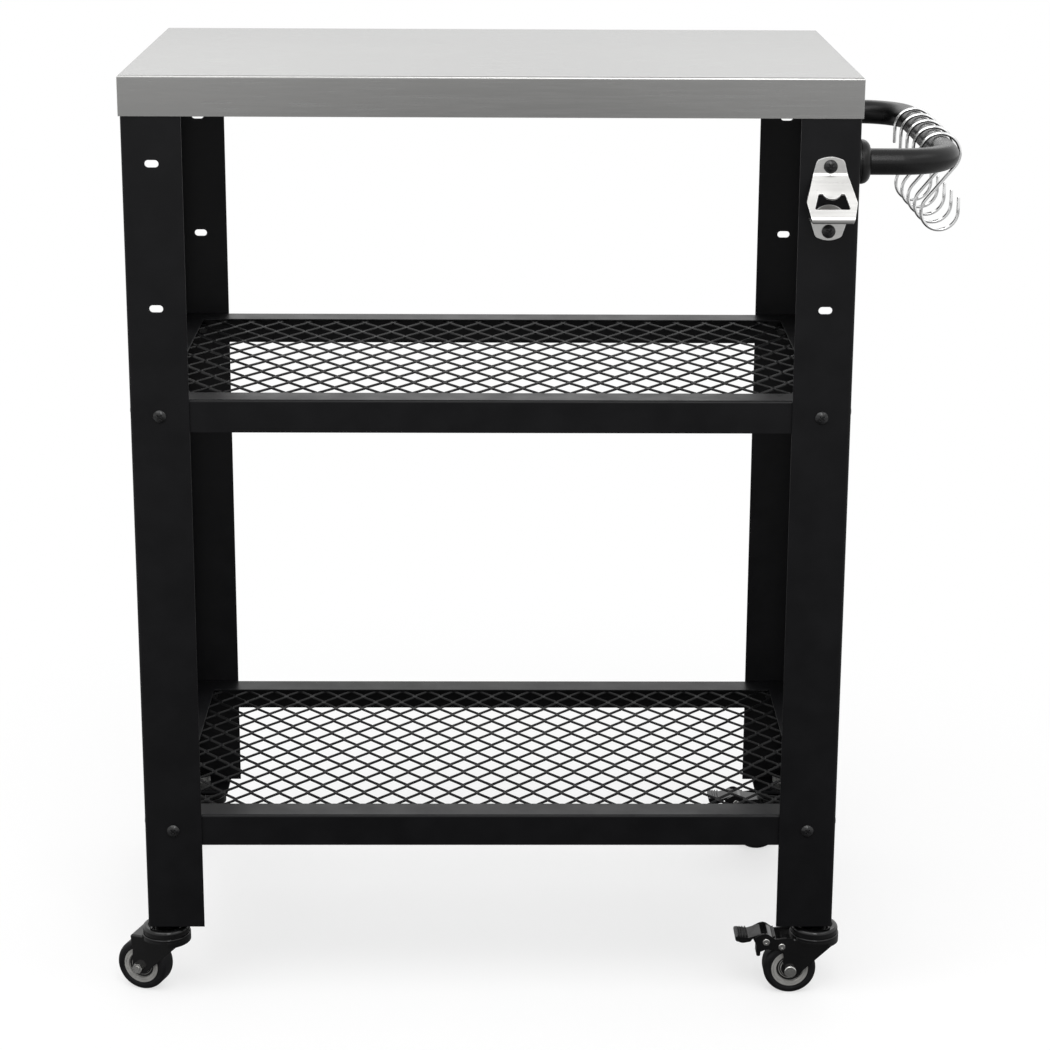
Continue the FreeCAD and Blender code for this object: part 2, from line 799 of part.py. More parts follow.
def opener_mouth():
    """The cutter for the opening in the sloped face, without the round nose that lifts a cap."""
    bend = opener_upper_screw - opener_tab_drop
    slope = math.atan2(opener_tip_reach - opener_sheet, opener_tip_drop)
    along = Vector(0, -math.sin(slope), -math.cos(slope))
    out = Vector(0, -math.cos(slope), math.sin(slope))
    origin = Vector(hole_x, -leg_y - opener_sheet, bend) - out * (3 * opener_sheet)
    top, low = Vector(mouth_top_width / 2, 0, 0), Vector(mouth_bottom_width / 2, 0, 0)
    corners = [
        (origin - low + along * mouth_end, 1.5),
        (origin + low + along * mouth_end, 1.5),
        (origin + top + along * mouth_start, 1.5),
        (origin - top + along * mouth_start, 1.5),
    ]
    through = out * (6 * opener_sheet)
    middle = origin + along * (mouth_start + mouth_nose_drop - mouth_nose_radius)
    nose = rod(2 * mouth_nose_radius, through.Length, middle, out)
    return rounded_slab(corners, through).cut(nose)


def opener_pad():
    """The flat plate behind the return, with a round top and a tapered, rounded foot."""
    half = opener_pad_width / 2
    middle = opener_lower_screw + opener_pad_rise - half
    end = opener_lower_screw - opener_pad_drop
    disc = rod(opener_pad_width, opener_sheet, Vector(hole_x, -leg_y, middle), Vector(0, -1, 0))
    foot = opener_end(opener_pad_end_width / 2, end, end + opener_shoulder)
    outline = [(-half, middle, 0), (half, middle, 0)] + foot
    placed = [(Vector(hole_x + offset, -leg_y, z), radius) for offset, z, radius in outline]
    taper = rounded_slab(placed, Vector(0, -opener_sheet, 0))
    crown = box((hole_x - half, hole_x + half), (-leg_y - opener_sheet, -leg_y), (middle, middle + half))
    return united([disc.common(crown), taper])


def bottle_opener():
    """The opener: a bent strip cut to its outline, joined to the pad behind its foot."""
    face = opener_strip(opener_widest + 2).common(opener_outline())
    holes = [
        rod(screw_diameter + 2 * hole_play, 3 * opener_sheet, Vector(hole_x, -leg_y + 1, z), Vector(0, -1, 0))
        for z in (opener_upper_screw, opener_lower_screw)
    ]
    return cut(united([face, opener_pad()]), [opener_mouth()] + holes)


def opener_fasteners():
    """The opener's two screws and the nuts behind the leg."""
    screw = pan_screw(screw_length)
    nut = hex_nut(nut_across, nut_height, screw_diameter)
    front = Vector(0, -1, 0)
    screws, nuts = [], []
    for z in (opener_upper_screw, opener_lower_screw):
        screws.append(aimed(screw, Vector(hole_x, -leg_y - opener_sheet, z), front))
        nuts.append(aimed(nut, Vector(hole_x, -leg_inner_y + nut_height, z), front))
    return Part.makeCompound(screws), Part.makeCompound(nuts)


# Casters are made with the swivel axis at x = y = 0, trailing towards -X, and then turned and placed


def caster_place(shape, side, end):
    """A caster piece turned to its rest heading and moved under its leg."""
    turn = left_caster_turn if side < 0 else right_caster_turn
    copy = shape.copy()
    place = Placement(Vector(side * swivel_x, end * swivel_y, 0), Rotation(Vector(0, 0, 1), turn))
    copy.Placement = place.multiply(copy.Placement)
    return copy


def caster_stem():
    """The stem: thread, collar under the leg, swivel pin and its riveted head."""
    pin = bolt_diameter / 2
    collar = stem_collar / 2
    head = pivot_head_diameter / 2
    head_top = fork_crown_height - running_gap
    collar_low = cap_seat + running_gap
    thread_top = leg_bottom + plate_sheet + bolt_nut_height + 3
    return turned(
        [
            (0, head_top - pivot_head_height),
            (head, head_top - pivot_head_height),
            (head, head_top),
            (pin, head_top),
            (pin, collar_low),
            (collar, collar_low),
            (collar, leg_bottom),
            (pin, leg_bottom),
            (pin, thread_top),
            (0, thread_top),
        ]
    )


def swivel_cap():
    """The cover over the swivel bearing: a rim, a rolled band above a groove, and a dished middle."""
    rim = fork_crown_diameter / 2
    lip = fork_top + cap_rim_height
    band = cap_band_diameter / 2
    dish = cap_dish_diameter / 2
    bore = bolt_diameter / 2 + pin_play
    sheet = cap_sheet
    groove = band - cap_groove
    inner = groove - sheet
    corners = [
        (rim - sheet, fork_top, 0),
        (rim, fork_top, 0),
        (rim, lip, sheet * 0.7),
        (groove, lip + cap_groove * 0.3, 0),
        (groove, lip + cap_groove, 0),
        (band, lip + cap_groove * 1.4, 0),
        (band, cap_top, cap_band_radius),
        (dish, cap_top, cap_dish_radius),
        (dish, cap_seat, cap_dish * 0.2),
        (bore, cap_seat, 0),
        (bore, cap_seat - sheet, 0),
        (inner, cap_seat - sheet, sheet),
        (inner, lip, 0),
    ]
    face = rounded_face([(Vector(r, 0, z), radius) for r, z, radius in corners])
    return face.revolve(Vector(0, 0, 0), Vector(0, 0, 1), 360)


def fork_channel():
    """The fork's folded section: a web under the crown and two long side walls."""
    low = axle_height - 2 * fork_boss_radius
    corners = [
        (-fork_outer, low, 0),
        (-fork_outer, fork_top, fork_sheet + 0.5),
        (fork_outer, fork_top, fork_sheet + 0.5),
        (fork_outer, low, 0),
        (fork_inner, low, 0),
        (fork_inner, fork_crown_height, 0.5),
        (-fork_inner, fork_crown_height, 0.5),
        (-fork_inner, low, 0),
    ]
    back = fork_tongue + fork_crown_diameter
    placed = [(Vector(-back, y, z), radius) for y, z, radius in corners]
    return rounded_slab(placed, Vector(2 * back, 0, 0))


def fork_outline(tongue):
    """The fork seen from the side, pushed through its whole width, with a web as long as the tongue."""
    nose = math.sqrt((fork_crown_diameter / 2) ** 2 - fork_outer**2) - crown_lap
    boss = fork_boss_radius
    corners = [
        (-nose, fork_top, 0),
        (tongue, fork_top, 2),
        (fork_edge, axle_height + 2.4 * boss, 8),
        (caster_trail + boss, axle_height, boss * 0.5),
        (caster_trail + boss, axle_height - boss, boss * 0.95),
        (caster_trail - boss * 0.7, axle_height - boss, boss * 0.8),
        (-nose, fork_crown_height - fork_nose_drop * 0.8, 2),
    ]
    placed = [(Vector(-back, -fork_outer, z), radius) for back, z, radius in corners]
    return rounded_slab(placed, Vector(0, 2 * fork_outer, 0))


def fork_crown():
    """The round crown with its front edge turned down."""
    up = Vector(0, 0, 1)
    disc = rod(fork_crown_diameter, fork_sheet, Vector(0, 0, fork_crown_height), up)
    low = fork_crown_height - fork_nose_drop
    ring = rod(fork_crown_diameter, fork_nose_drop, Vector(0, 0, low), up)
    ring = ring.cut(rod(fork_crown_diameter - 2 * fork_sheet, fork_nose_drop, Vector(0, 0, low), up))
    reach = fork_crown_diameter / 2
    front = box((reach * 0.5, reach), (-reach, reach), (low, fork_crown_height))
    return united([disc, ring.common(front)])


def brake_lobe(side):
    """The extra ear on a side plate that carries the pedal's rivet, raised beside the cap."""
    pivot, height = pedal_pivot_back, pedal_pivot_height
    near = math.sqrt((fork_crown_diameter / 2 + lobe_gap) ** 2 - fork_inner**2)
    raised = fork_top + lobe_rise
    corners = [
        (near, fork_top - 4, 0),
        (near, raised, 0.8),
        (near + lobe_rise_length, raised, 3),
        (pivot - 1.2 * lobe_radius, fork_top - 0.3, 3),
        (pivot + 1, height + 1.3 * lobe_radius, lobe_radius),
        (lobe_edge_back, fork_top + 0.5, 1.5),
        (pivot + 0.75 * lobe_radius, lobe_point_height, 1.2),
        (pivot, height - 1.05 * lobe_radius, 3),
        (fork_edge, height - 1.3 * lobe_radius, 3),
        (fork_edge - 2, height - 1.7 * lobe_radius, 0),
    ]
    start = fork_inner if side > 0 else -fork_outer
    placed = [(Vector(-back, start, z), radius) for back, z, radius in corners]
    return rounded_slab(placed, Vector(0, fork_sheet, 0))


def fork(braked):
    """The pressed fork: a folded channel under a round crown, with ears where it is braked."""
    through = Vector(0, 1, 0)
    up = Vector(0, 0, 1)
    tongue = brake_tongue if braked else fork_tongue
    pieces = [fork_channel().common(fork_outline(tongue)), fork_crown()]
    if braked:
        pieces += [brake_lobe(side) for side in (-1, 1)]
    holes = [
        rod(bolt_diameter + 2 * pin_play, 3 * fork_sheet, Vector(0, 0, fork_crown_height - 1), up),
        rod(axle_diameter + 2 * pin_play, 80, Vector(-caster_trail, -40, axle_height), through),
    ]
    if braked:
        for back, height in brake_rivet_spots():
            holes.append(rod(rivet_diameter + 2 * pin_play, 80, Vector(-back, -40, height), through))
    return cut(united(pieces), holes)


def brake_rivet_spots():
    """Where the two rivets of each fork plate sit: the pedal's pivot and the plate rivet."""
    return [(pedal_pivot_back, pedal_pivot_height), (spacer_rivet_back, spacer_rivet_height)]


def axle_bolt(head_side):
    """The wheel's axle with a round head on one side of the fork."""
    seat = fork_outer
    length = 2 * seat + nut_height + 1
    shank = rod(axle_diameter, length, Vector(0, 0, -length), Vector(0, 0, 1))
    head = rod(axle_head, axle_head_height, Vector(0, 0, 0), Vector(0, 0, 1))
    rim = [e for e in head.Edges if abs(e.CenterOfMass.z - axle_head_height) < 1e-6]
    head = head.makeFillet(1.2, rim)
    place = Vector(-caster_trail, head_side * seat, axle_height)
    return aimed(united([head, shank]), place, Vector(0, head_side, 0))


def axle_nut(head_side):
    """The nut at the other end of the axle."""
    nut = hex_nut(nut_across, nut_height, axle_diameter)
    place = Vector(-caster_trail, -head_side * fork_outer, axle_height)
    return aimed(nut, place, Vector(0, -head_side, 0))


def hub():
    """The wheel's hub: a ring at each face, a dished web, a bearing cap and a bored boss."""
    half = wheel_width / 2
    boss = fork_inner - running_gap
    bore = axle_diameter / 2 + pin_play
    ring_face = half - hub_ring_dish
    web = half - hub_recess
    cap = hub_cap_diameter / 2
    profile = [
        (bore, boss),
        (hub_boss_diameter / 2, boss),
        (hub_boss_diameter / 2, web + 1),
        (cap, web + 1),
        (cap, web),
        (hub_ring_inner / 2, web),
        (hub_ring_inner / 2, ring_face),
        (hub_diameter / 2, ring_face),
    ]
    mirrored = [(radius, -height) for radius, height in reversed(profile)]
    return aimed(turned(profile + mirrored), Vector(-caster_trail, 0, axle_height), Vector(0, -1, 0))


def tyre():
    """The tread ring round the hub."""
    half = wheel_width / 2
    place = Vector(-caster_trail, -half, axle_height)
    ring = rod(wheel_diameter, wheel_width, place, Vector(0, 1, 0))
    rims = [e for e in ring.Edges if isinstance(e.Curve, Part.Circle)]
    ring = ring.makeFillet(tyre_shoulder, rims)
    return ring.cut(rod(hub_diameter, wheel_width, place, Vector(0, 1, 0)))


def pedal_section():
    """The pedal seen from the side: a wavy strip with a thick lip at its free end and a rolled front."""
    top, hump, sheet = pedal_height, pedal_hump, pedal_sheet
    end, front, pivot = pedal_end_back, pedal_front_back, pedal_pivot_back
    valley = top - pedal_valley
    low = top - pedal_lip
    return [
        (end, top, 2.0),
        (pivot + 18, top - 1.8, 8.0),
        (pivot + 6, top + hump, 7.0),
        (pivot - 2, top + hump, 4.0),
        (pivot - 6, valley, 2.0),
        (front, top + pedal_valley, sheet * 0.4),
        (front, valley - sheet, sheet * 0.4),
        (pivot - 6.5, valley - sheet, 2.0),
        (pivot - 2.5, top + hump - sheet, 3.0),
        (pivot + 5.5, top + hump - sheet, 4.0),
        (pivot + 14, top - 3.2, 2.0),
        (pivot + 16, low + 1, 2.0),
        (pivot + 24, low - 0.5, 6.0),
        (end, low + 2, 3.0),
    ]


def brake_pedal():
    """The pedal with its ridges, its boss round the rivet and the shoe that presses the tread."""
    half = fork_inner - running_gap
    across = Vector(0, 2 * half, 0)
    placed = [(Vector(-back, -half, z), radius) for back, z, radius in pedal_section()]
    strip = rounded_slab(placed, across)
    pivot = Vector(-pedal_pivot_back, -half, pedal_pivot_height)
    boss = rod(2 * pedal_boss_radius, 2 * half, pivot, Vector(0, 1, 0))
    web = box(
        (-pedal_pivot_back - pedal_boss_radius, -pedal_pivot_back + pedal_boss_radius / 2),
        (-half, half),
        (pedal_pivot_height, pedal_height + pedal_hump - pedal_sheet / 2),
    )
    ridges = []
    for step in range(pedal_ridges):
        middle = -pedal_end_back + 3 + pedal_ridge_pitch * step
        ridges.append(
            box(
                (middle - pedal_ridge / 2, middle + pedal_ridge / 2),
                (-half + 1.5, half - 1.5),
                (pedal_height - pedal_sheet, pedal_height + pedal_ridge / 2),
            )
        )
    wide = shoe_width / 2
    shoe = rounded_slab(
        [
            (Vector(-shoe_back, -wide, pedal_height), 0),
            (Vector(-shoe_back, -wide, shoe_bottom), shoe_thickness * 0.45),
            (Vector(-shoe_back + shoe_thickness, -wide, shoe_bottom), shoe_thickness * 0.45),
            (Vector(-shoe_back + shoe_thickness, -wide, pedal_height), 0),
        ],
        Vector(0, shoe_width, 0),
    )
    bore = rod(rivet_diameter + 2 * pin_play, 80, pivot - Vector(0, 20, 0), Vector(0, 1, 0))
    return united([strip, boss, web, shoe] + ridges).cut(bore)


def rivet_head_shape(back, height, side):
    """A low round head with a dimple, on the outside of a fork plate."""
    seat = Vector(-back, side * fork_outer, height)
    outward = Vector(0, side, 0)
    head = rod(rivet_head, rivet_head_height, seat, outward)
    rim = [e for e in head.Edges if abs(abs(e.CenterOfMass.y) - fork_outer - rivet_head_height) < 1e-6]
    head = head.makeFillet(rivet_head_height * 0.5, rim)
    dimple = rod(rivet_dimple, rivet_head_height, seat + outward * (rivet_head_height * 0.5), outward)
    return head.cut(dimple)


def brake_rivets():
    """The pedal's through rivet and a short rivet in each fork plate."""
    (back, height), (short_back, short_height) = brake_rivet_spots()
    shank = rod(rivet_diameter, 2 * fork_outer, Vector(-back, -fork_outer, height), Vector(0, 1, 0))
    solids = [united([shank] + [rivet_head_shape(back, height, side) for side in (-1, 1)])]
    for side in (-1, 1):
        start = Vector(-short_back, side * fork_inner, short_height)
        shank = rod(rivet_diameter, fork_sheet, start, Vector(0, side, 0))
        solids.append(united([shank, rivet_head_shape(short_back, short_height, side)]))
    return Part.makeCompound(solids)


def caster_pieces(side, end):
    """The pieces of one caster as pairs of a name and a shape."""
    label = ("front" if end < 0 else "rear") + ("_left" if side < 0 else "_right")
    braked = side > 0
    head_side = -1 if braked else 1
    pieces = [
        ("caster_fork", fork(braked)),
        ("caster_swivel_cap", swivel_cap()),
        ("caster_axle_bolt", axle_bolt(head_side)),
        ("caster_axle_nut", axle_nut(head_side)),
        ("caster_hub", hub()),
        ("caster_tyre", tyre()),
    ]
    if braked:
        pieces.append(("caster_brake_pedal", brake_pedal()))
        pieces.append(("caster_brake_rivets", brake_rivets()))
    return [(name + "_" + label, caster_place(shape, side, end)) for name, shape in pieces]


def caster_stems():
    """The four stems, fixed to the legs."""
    return Part.makeCompound([caster_place(caster_stem(), side, end) for side, end in corners()])


def caster_stem_nuts():
    """Nuts that hold the stems on the seat plates."""
    nut = hex_nut(bolt_across, bolt_nut_height, bolt_diameter)
    seat = leg_bottom + plate_sheet
    places = [Vector(side * swivel_x, end * swivel_y, seat) for side, end in corners()]
    return Part.makeCompound([aimed(nut, place, Vector(0, 0, 1)) for place in places])


def all_pieces():
    """Every node of the cart as pairs of a name and a shape."""
    pieces = [
        ("worktop", worktop()),
        ("worktop_stiffeners", worktop_stiffeners()),
        ("worktop_nuts", worktop_nuts()),
        ("leg_front_left", leg(-1, -1)),
        ("leg_front_right", leg(1, -1)),
        ("leg_rear_left", leg(-1, 1)),
        ("leg_rear_right", leg(1, 1)),
        ("leg_top_plates", leg_top_plates()),
        ("caster_seat_plates", caster_seat_plates()),
        ("caster_stems", caster_stems()),
        ("caster_stem_nuts", caster_stem_nuts()),
        ("handle_tube", handle_tube()),
        ("handle_end_plugs", handle_end_plugs()),
        ("handle_collars", handle_collars()),
        ("handle_bolts", handle_bolts()),
        ("bottle_opener", bottle_opener()),
    ]
    for label, top in (("upper", upper_shelf_top), ("lower", lower_shelf_top)):
        screws, nuts = shelf_fasteners(top)
        pieces.append((label + "_shelf_frame", shelf_frame(top)))
        pieces.append((label + "_shelf_mesh", shelf_mesh(top)))
        pieces.append((label + "_shelf_screws", screws))
        pieces.append((label + "_shelf_nuts", nuts))
    screws, nuts = opener_fasteners()
    pieces.append(("opener_screws", screws))
    pieces.append(("opener_nuts", nuts))
    for number in range(hook_count):
        pieces.append(("hook_" + str(number + 1), hook(number)))
    for side, end in corners():
        pieces.extend(caster_pieces(side, end))
    return pieces


os.makedirs("parts", exist_ok=True)
for node_name, node_shape in all_pieces():
    node_shape.translate(Vector(cart_x, cart_y, 0))
    node_shape.exportStep("parts/" + node_name + ".step")
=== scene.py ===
"""Looks of a rolling grill cart with a stainless worktop, two open shelves, a side handle and four casters.

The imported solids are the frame. Most of them keep their own shape and only get a finish here. The expanded
metal of the shelves, the hooks, the hubs and the tyres are built anew, finer than the solids show them.
Lengths are in metres. The floor is at height 0, +X is the cart's right and +Y its back.
"""

from __future__ import annotations

import json
import logging
import math
from dataclasses import dataclass, field
from enum import Enum

import bmesh
import bpy
from mathutils import Matrix, Vector

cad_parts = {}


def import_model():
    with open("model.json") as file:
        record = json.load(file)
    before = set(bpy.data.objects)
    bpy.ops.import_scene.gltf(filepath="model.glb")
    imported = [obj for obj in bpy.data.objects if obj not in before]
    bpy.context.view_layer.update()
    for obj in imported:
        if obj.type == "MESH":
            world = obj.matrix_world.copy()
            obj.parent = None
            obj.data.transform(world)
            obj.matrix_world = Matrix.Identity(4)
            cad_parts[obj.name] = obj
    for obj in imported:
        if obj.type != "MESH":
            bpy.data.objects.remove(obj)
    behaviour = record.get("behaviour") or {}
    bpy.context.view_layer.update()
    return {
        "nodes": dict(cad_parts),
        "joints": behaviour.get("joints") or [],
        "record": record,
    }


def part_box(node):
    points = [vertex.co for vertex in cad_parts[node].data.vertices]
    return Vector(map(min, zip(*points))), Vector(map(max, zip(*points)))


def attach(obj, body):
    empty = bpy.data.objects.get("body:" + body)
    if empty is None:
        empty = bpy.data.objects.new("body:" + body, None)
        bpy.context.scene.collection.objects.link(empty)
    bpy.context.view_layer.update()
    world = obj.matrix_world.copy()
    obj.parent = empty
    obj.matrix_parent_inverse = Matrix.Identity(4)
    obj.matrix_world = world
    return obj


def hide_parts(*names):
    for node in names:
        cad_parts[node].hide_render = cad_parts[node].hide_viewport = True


LOG = logging.getLogger("grill_cart")
Triple = tuple[float, float, float]
Colour = tuple[float, float, float]
Socket = bpy.types.NodeSocket
EVEN: Triple = (1.0, 1.0, 1.0)
WHITE = (1.0, 1.0, 1.0, 1.0)
UP = Vector((0.0, 0.0, 1.0))
BEVEL_SAMPLES = 4
EDGE_COSINES = (0.8, 0.99)
SMOOTH_BELOW = 32.0


class Step(Enum):
    """What a maths node works out."""

    ADD = "ADD"
    MULTIPLY = "MULTIPLY"
    MAXIMUM = "MAXIMUM"
    ABSOLUTE = "ABSOLUTE"


class Lamp(Enum):
    """The lamps of the studio."""

    KEY = "key_softbox"
    FRONT = "front_strip"
    FILL = "fill_softbox"
    REAR = "rear_softbox"


class NodeGraph:
    """A node tree that is built step by step, for a material or for the world."""

    def __init__(self, tree: bpy.types.NodeTree) -> None:
        """Empties a node tree.

        Args:
            tree: The node tree.
        """
        self.tree = tree
        self.tree.nodes.clear()

    def add(self, kind: str) -> bpy.types.Node:
        """Adds a shader node of one kind."""
        return self.tree.nodes.new("ShaderNode" + kind)

    def link(self, source: Socket, target: Socket) -> None:
        """Joins two sockets."""
        self.tree.links.new(source, target)

    def math(self, step: Step, first: Socket, second: Socket | None = None) -> Socket:
        """Works out a value from one or two others.

        Args:
            step: What is worked out.
            first: The first value.
            second: The second value, where there is one.

        Returns:
            The result.
        """
        node = self.add("Math")
        node.operation = step.value
        self.link(first, node.inputs[0])
        if second is not None:
            self.link(second, node.inputs[1])
        return node.outputs["Value"]

    def white_light(self, kind: str, strength: float) -> Socket:
        """White light.

        Args:
            kind: The kind of node, which is Emission or Background.
            strength: How strong it is.

        Returns:
            The light's shader.
        """
        node = self.add(kind)
        node.inputs["Color"].default_value = WHITE
        node.inputs["Strength"].default_value = strength
        return node.outputs[0]

    def mixed_shader(self, amount: Socket, first: Socket, second: Socket) -> Socket:
        """A shader between two shaders.

        Args:
            amount: 0 for the first shader, 1 for the second.
            first: The first shader.
            second: The second shader.

        Returns:
            The mixed shader.
        """
        mix = self.add("MixShader")
        self.link(amount, mix.inputs["Fac"])
        self.link(first, mix.inputs[1])
        self.link(second, mix.inputs[2])
        return mix.outputs["Shader"]


class ShaderTree(NodeGraph):
    """The node tree of one material, built from its surface shader backwards."""

    def __init__(self, name: str) -> None:
        """Makes an empty material with a surface shader.

        Args:
            name: The material's name.
        """
        self.material = bpy.data.materials.new(name)
        self.material.use_nodes = True
        super().__init__(self.material.node_tree)
        self.output = self.add("OutputMaterial")
        self.surface = self.add("BsdfPrincipled")
        self.link(self.surface.outputs["BSDF"], self.output.inputs["Surface"])

    def value(self, socket: str, amount: float | tuple[float, ...]) -> None:
        """Writes a constant on a socket of the surface shader."""
        self.surface.inputs[socket].default_value = amount

    def coordinates(self, stretch: Triple = EVEN) -> Socket:
        """Object coordinates, stretched.

        Args:
            stretch: The factors along X, Y and Z.

        Returns:
            The stretched coordinates.
        """
        place = self.add("TexCoord")
        mapping = self.add("Mapping")
        mapping.inputs["Scale"].default_value = stretch
        self.link(place.outputs["Object"], mapping.inputs["Vector"])
        return mapping.outputs["Vector"]

    def noise(
        self, scale: float, detail: float, stretch: Triple = EVEN, roughness: float = 0.55
    ) -> Socket:
        """A noise field from 0 to 1.

        Args:
            scale: Features per metre.
            detail: The number of finer layers.
            stretch: The factors along X, Y and Z.
            roughness: How strong the finer layers are.

        Returns:
            The noise value.
        """
        texture = self.add("TexNoise")
        texture.inputs["Scale"].default_value = scale
        texture.inputs["Detail"].default_value = detail
        texture.inputs["Roughness"].default_value = roughness
        self.link(self.coordinates(stretch), texture.inputs["Vector"])
        return texture.outputs["Fac"]

    def spread(
        self, source: Socket, low: float, high: float, start: float = 0.3, end: float = 0.7
    ) -> Socket:
        """Maps a value from one range to another.

        Args:
            source: The value.
            low: The result at the range's start.
            high: The result at the range's end.
            start: The range's start.
            end: The range's end.

        Returns:
            The mapped value.
        """
        node = self.add("MapRange")
        node.inputs["From Min"].default_value = start
        node.inputs["From Max"].default_value = end
        node.inputs["To Min"].default_value = low
        node.inputs["To Max"].default_value = high
        self.link(source, node.inputs["Value"])
        return node.outputs["Result"]

    def mixed(self, amount: Socket, first: Colour | Socket, second: Colour) -> Socket:
        """A colour between a colour or colour field and another colour.

        Args:
            amount: 0 for the first, 1 for the second.
            first: The first colour, or a colour field.
            second: The second colour.

        Returns:
            The mixed colour.
        """
        node = self.add("Mix")
        node.data_type = "RGBA"
        node.inputs["B"].default_value = (*second, 1.0)
        if isinstance(first, tuple):
            node.inputs["A"].default_value = (*first, 1.0)
        else:
            self.link(first, node.inputs["A"])
        self.link(amount, node.inputs["Factor"])
        return node.outputs["Result"]

    def bevel(self, radius: float) -> Socket:
        """The normal that the surface would have with rounded edges.

        Args:
            radius: The radius of the rounding, in metres.

        Returns:
            The rounded normal.
        """
        rounding = self.add("Bevel")
        rounding.samples = BEVEL_SAMPLES
        rounding.inputs["Radius"].default_value = radius
        return rounding.outputs["Normal"]

    def relief(self, height: Socket, strength: float, distance: float, edge: float) -> None:
        """Gives the surface shader a bumped normal with rounded edges.

        Args:
            height: The height field.
            strength: How much of the bump shows.
            distance: The height in metres of a full step.
            edge: The radius in metres over which sharp edges look rounded.
        """
        bump = self.add("Bump")
        bump.inputs["Strength"].default_value = strength
        bump.inputs["Distance"].default_value = distance
        self.link(height, bump.inputs["Height"])
        self.link(self.bevel(edge), bump.inputs["Normal"])
        self.link(bump.outputs["Normal"], self.surface.inputs["Normal"])

    def edges(self, radius: float, strength: float) -> Socket:
        """How close a point is to a sharp edge, for lighter edges from rubbing and for painted edge
        highlights.

        Args:
            radius: How far the lighter band reaches from the edge, in metres.
            strength: The value at the edge.

        Returns:
            0 on flat faces and up to the strength at edges.
        """
        geometry = self.add("NewGeometry")
        product = self.add("VectorMath")
        product.operation = "DOT_PRODUCT"
        self.link(self.bevel(radius), product.inputs[0])
        self.link(geometry.outputs["Normal"], product.inputs[1])
        return self.spread(product.outputs["Value"], strength, 0.0, *EDGE_COSINES)

    def tinted(self, socket: Socket, plain: Colour) -> None:
        """Gives the surface its colour field, and the plain colour that stands for it."""
        self.value("Base Color", (*plain, 1.0))
        self.link(socket, self.surface.inputs["Base Color"])

    def roughened(self, socket: Socket, plain: float) -> None:
        """Gives the surface its roughness field, and the plain roughness that stands for it."""
        self.value("Roughness", plain)
        self.link(socket, self.surface.inputs["Roughness"])


def shaded(colour: Colour, factor: float) -> Colour:
    """A colour made lighter or darker by a factor."""
    return tuple(min(1.0, part * factor) for part in colour)


@dataclass(frozen=True)
class BrushedSteel:
    """Stainless sheet with fine brushing along X, slow clouds from rolling and a painted highlight along its
    edges, where the rounded bends catch the light.
    """

    name: str
    tint: Colour
    roughness: float
    grain_depth: float
    clouds: float
    brush: Triple = (0.035, 1.0, 1.0)
    fine_scale: float = 1900.0
    broad_scale: float = 420.0
    line_range: tuple[float, float] = (0.92, 1.08)
    line_share: float = 0.25
    cloud_scale: float = 3.2
    cloud_stretch: Triple = (1.0, 0.4, 0.4)
    cloud_range: tuple[float, float] = (0.35, 0.65)
    rough_swing: float = 0.03
    anisotropy: float = 0.35
    rim_width: float = 0.0013
    polish: float = 1.5
    edge_radius: float = 0.0006

    def build(self) -> bpy.types.Material:
        """Builds the material.

        Returns:
            The material.
        """
        shader = ShaderTree(self.name)
        shader.value("Metallic", 1.0)
        shader.value("Anisotropic", self.anisotropy)
        fine = shader.noise(self.fine_scale, 4.0, self.brush, 0.7)
        broad = shader.noise(self.broad_scale, 3.0, self.brush, 0.6)
        slow = shader.noise(self.cloud_scale, 1.0, self.cloud_stretch, 0.4)
        lines = shader.math(Step.ADD, fine, broad)
        brushing = shader.spread(lines, -self.line_share, self.line_share, *self.line_range)
        rolling = shader.spread(slow, self.line_share, 1.0 - self.line_share, *self.cloud_range)
        tone = shader.math(Step.ADD, brushing, rolling)
        sheet = shader.mixed(tone, shaded(self.tint, 1.0 - self.clouds), shaded(self.tint, 1.0 + self.clouds))
        # Painted highlight: a band along the sharp edges is made lighter, standing in for the rounded bends
        # catching the light.
        rim = shader.edges(self.rim_width, 1.0)
        shader.tinted(shader.mixed(rim, sheet, shaded(self.tint, self.polish)), self.tint)
        rough = shader.spread(broad, self.roughness - self.rough_swing, self.roughness + self.rough_swing)
        shader.roughened(rough, self.roughness)
        shader.relief(lines, 0.3, self.grain_depth, self.edge_radius)
        return shader.material


@dataclass(frozen=True)
class PowderCoat:
    """Baked powder paint: satin, with a faint orange-peel surface and lighter edges from rubbing, which on
    the screw heads are raised into a painted highlight on the rim and the cross.
    """

    name: str
    tint: Colour
    roughness: float
    peel: float = 0.25
    rub: float = 0.35
    gloss: float = 0.2
    peel_scale: float = 1400.0
    peel_height: float = 0.00012
    peel_rough: float = 0.03
    dust_scale: float = 34.0
    dust_share: tuple[float, float] = (-0.05, 0.16)
    dust_rough: tuple[float, float] = (-0.05, 0.07)
    worn: float = 2.6
    rub_width: float = 0.0012
    edge_radius: float = 0.0007

    def build(self) -> bpy.types.Material:
        """Builds the material.

        Returns:
            The material.
        """
        shader = ShaderTree(self.name)
        shader.value("Specular IOR Level", self.gloss)
        peel = shader.noise(self.peel_scale, 2.0)
        dust = shader.noise(self.dust_scale, 5.0)
        # Lighter edges from rubbing; on the screw heads the strong setting makes them a painted highlight on
        # the rim and the cross.
        lightened_edges = shader.edges(self.rub_width, self.rub)
        lightening = shader.math(Step.ADD, lightened_edges, shader.spread(dust, *self.dust_share))
        shader.tinted(shader.mixed(lightening, self.tint, shaded(self.tint, self.worn)), self.tint)
        smooth, dull = (self.roughness + change for change in self.dust_rough)
        dusty = shader.spread(dust, smooth, dull)
        rough = shader.math(Step.ADD, dusty, shader.spread(peel, -self.peel_rough, self.peel_rough))
        shader.roughened(rough, self.roughness)
        shader.relief(peel, self.peel, self.peel_height, self.edge_radius)
        return shader.material


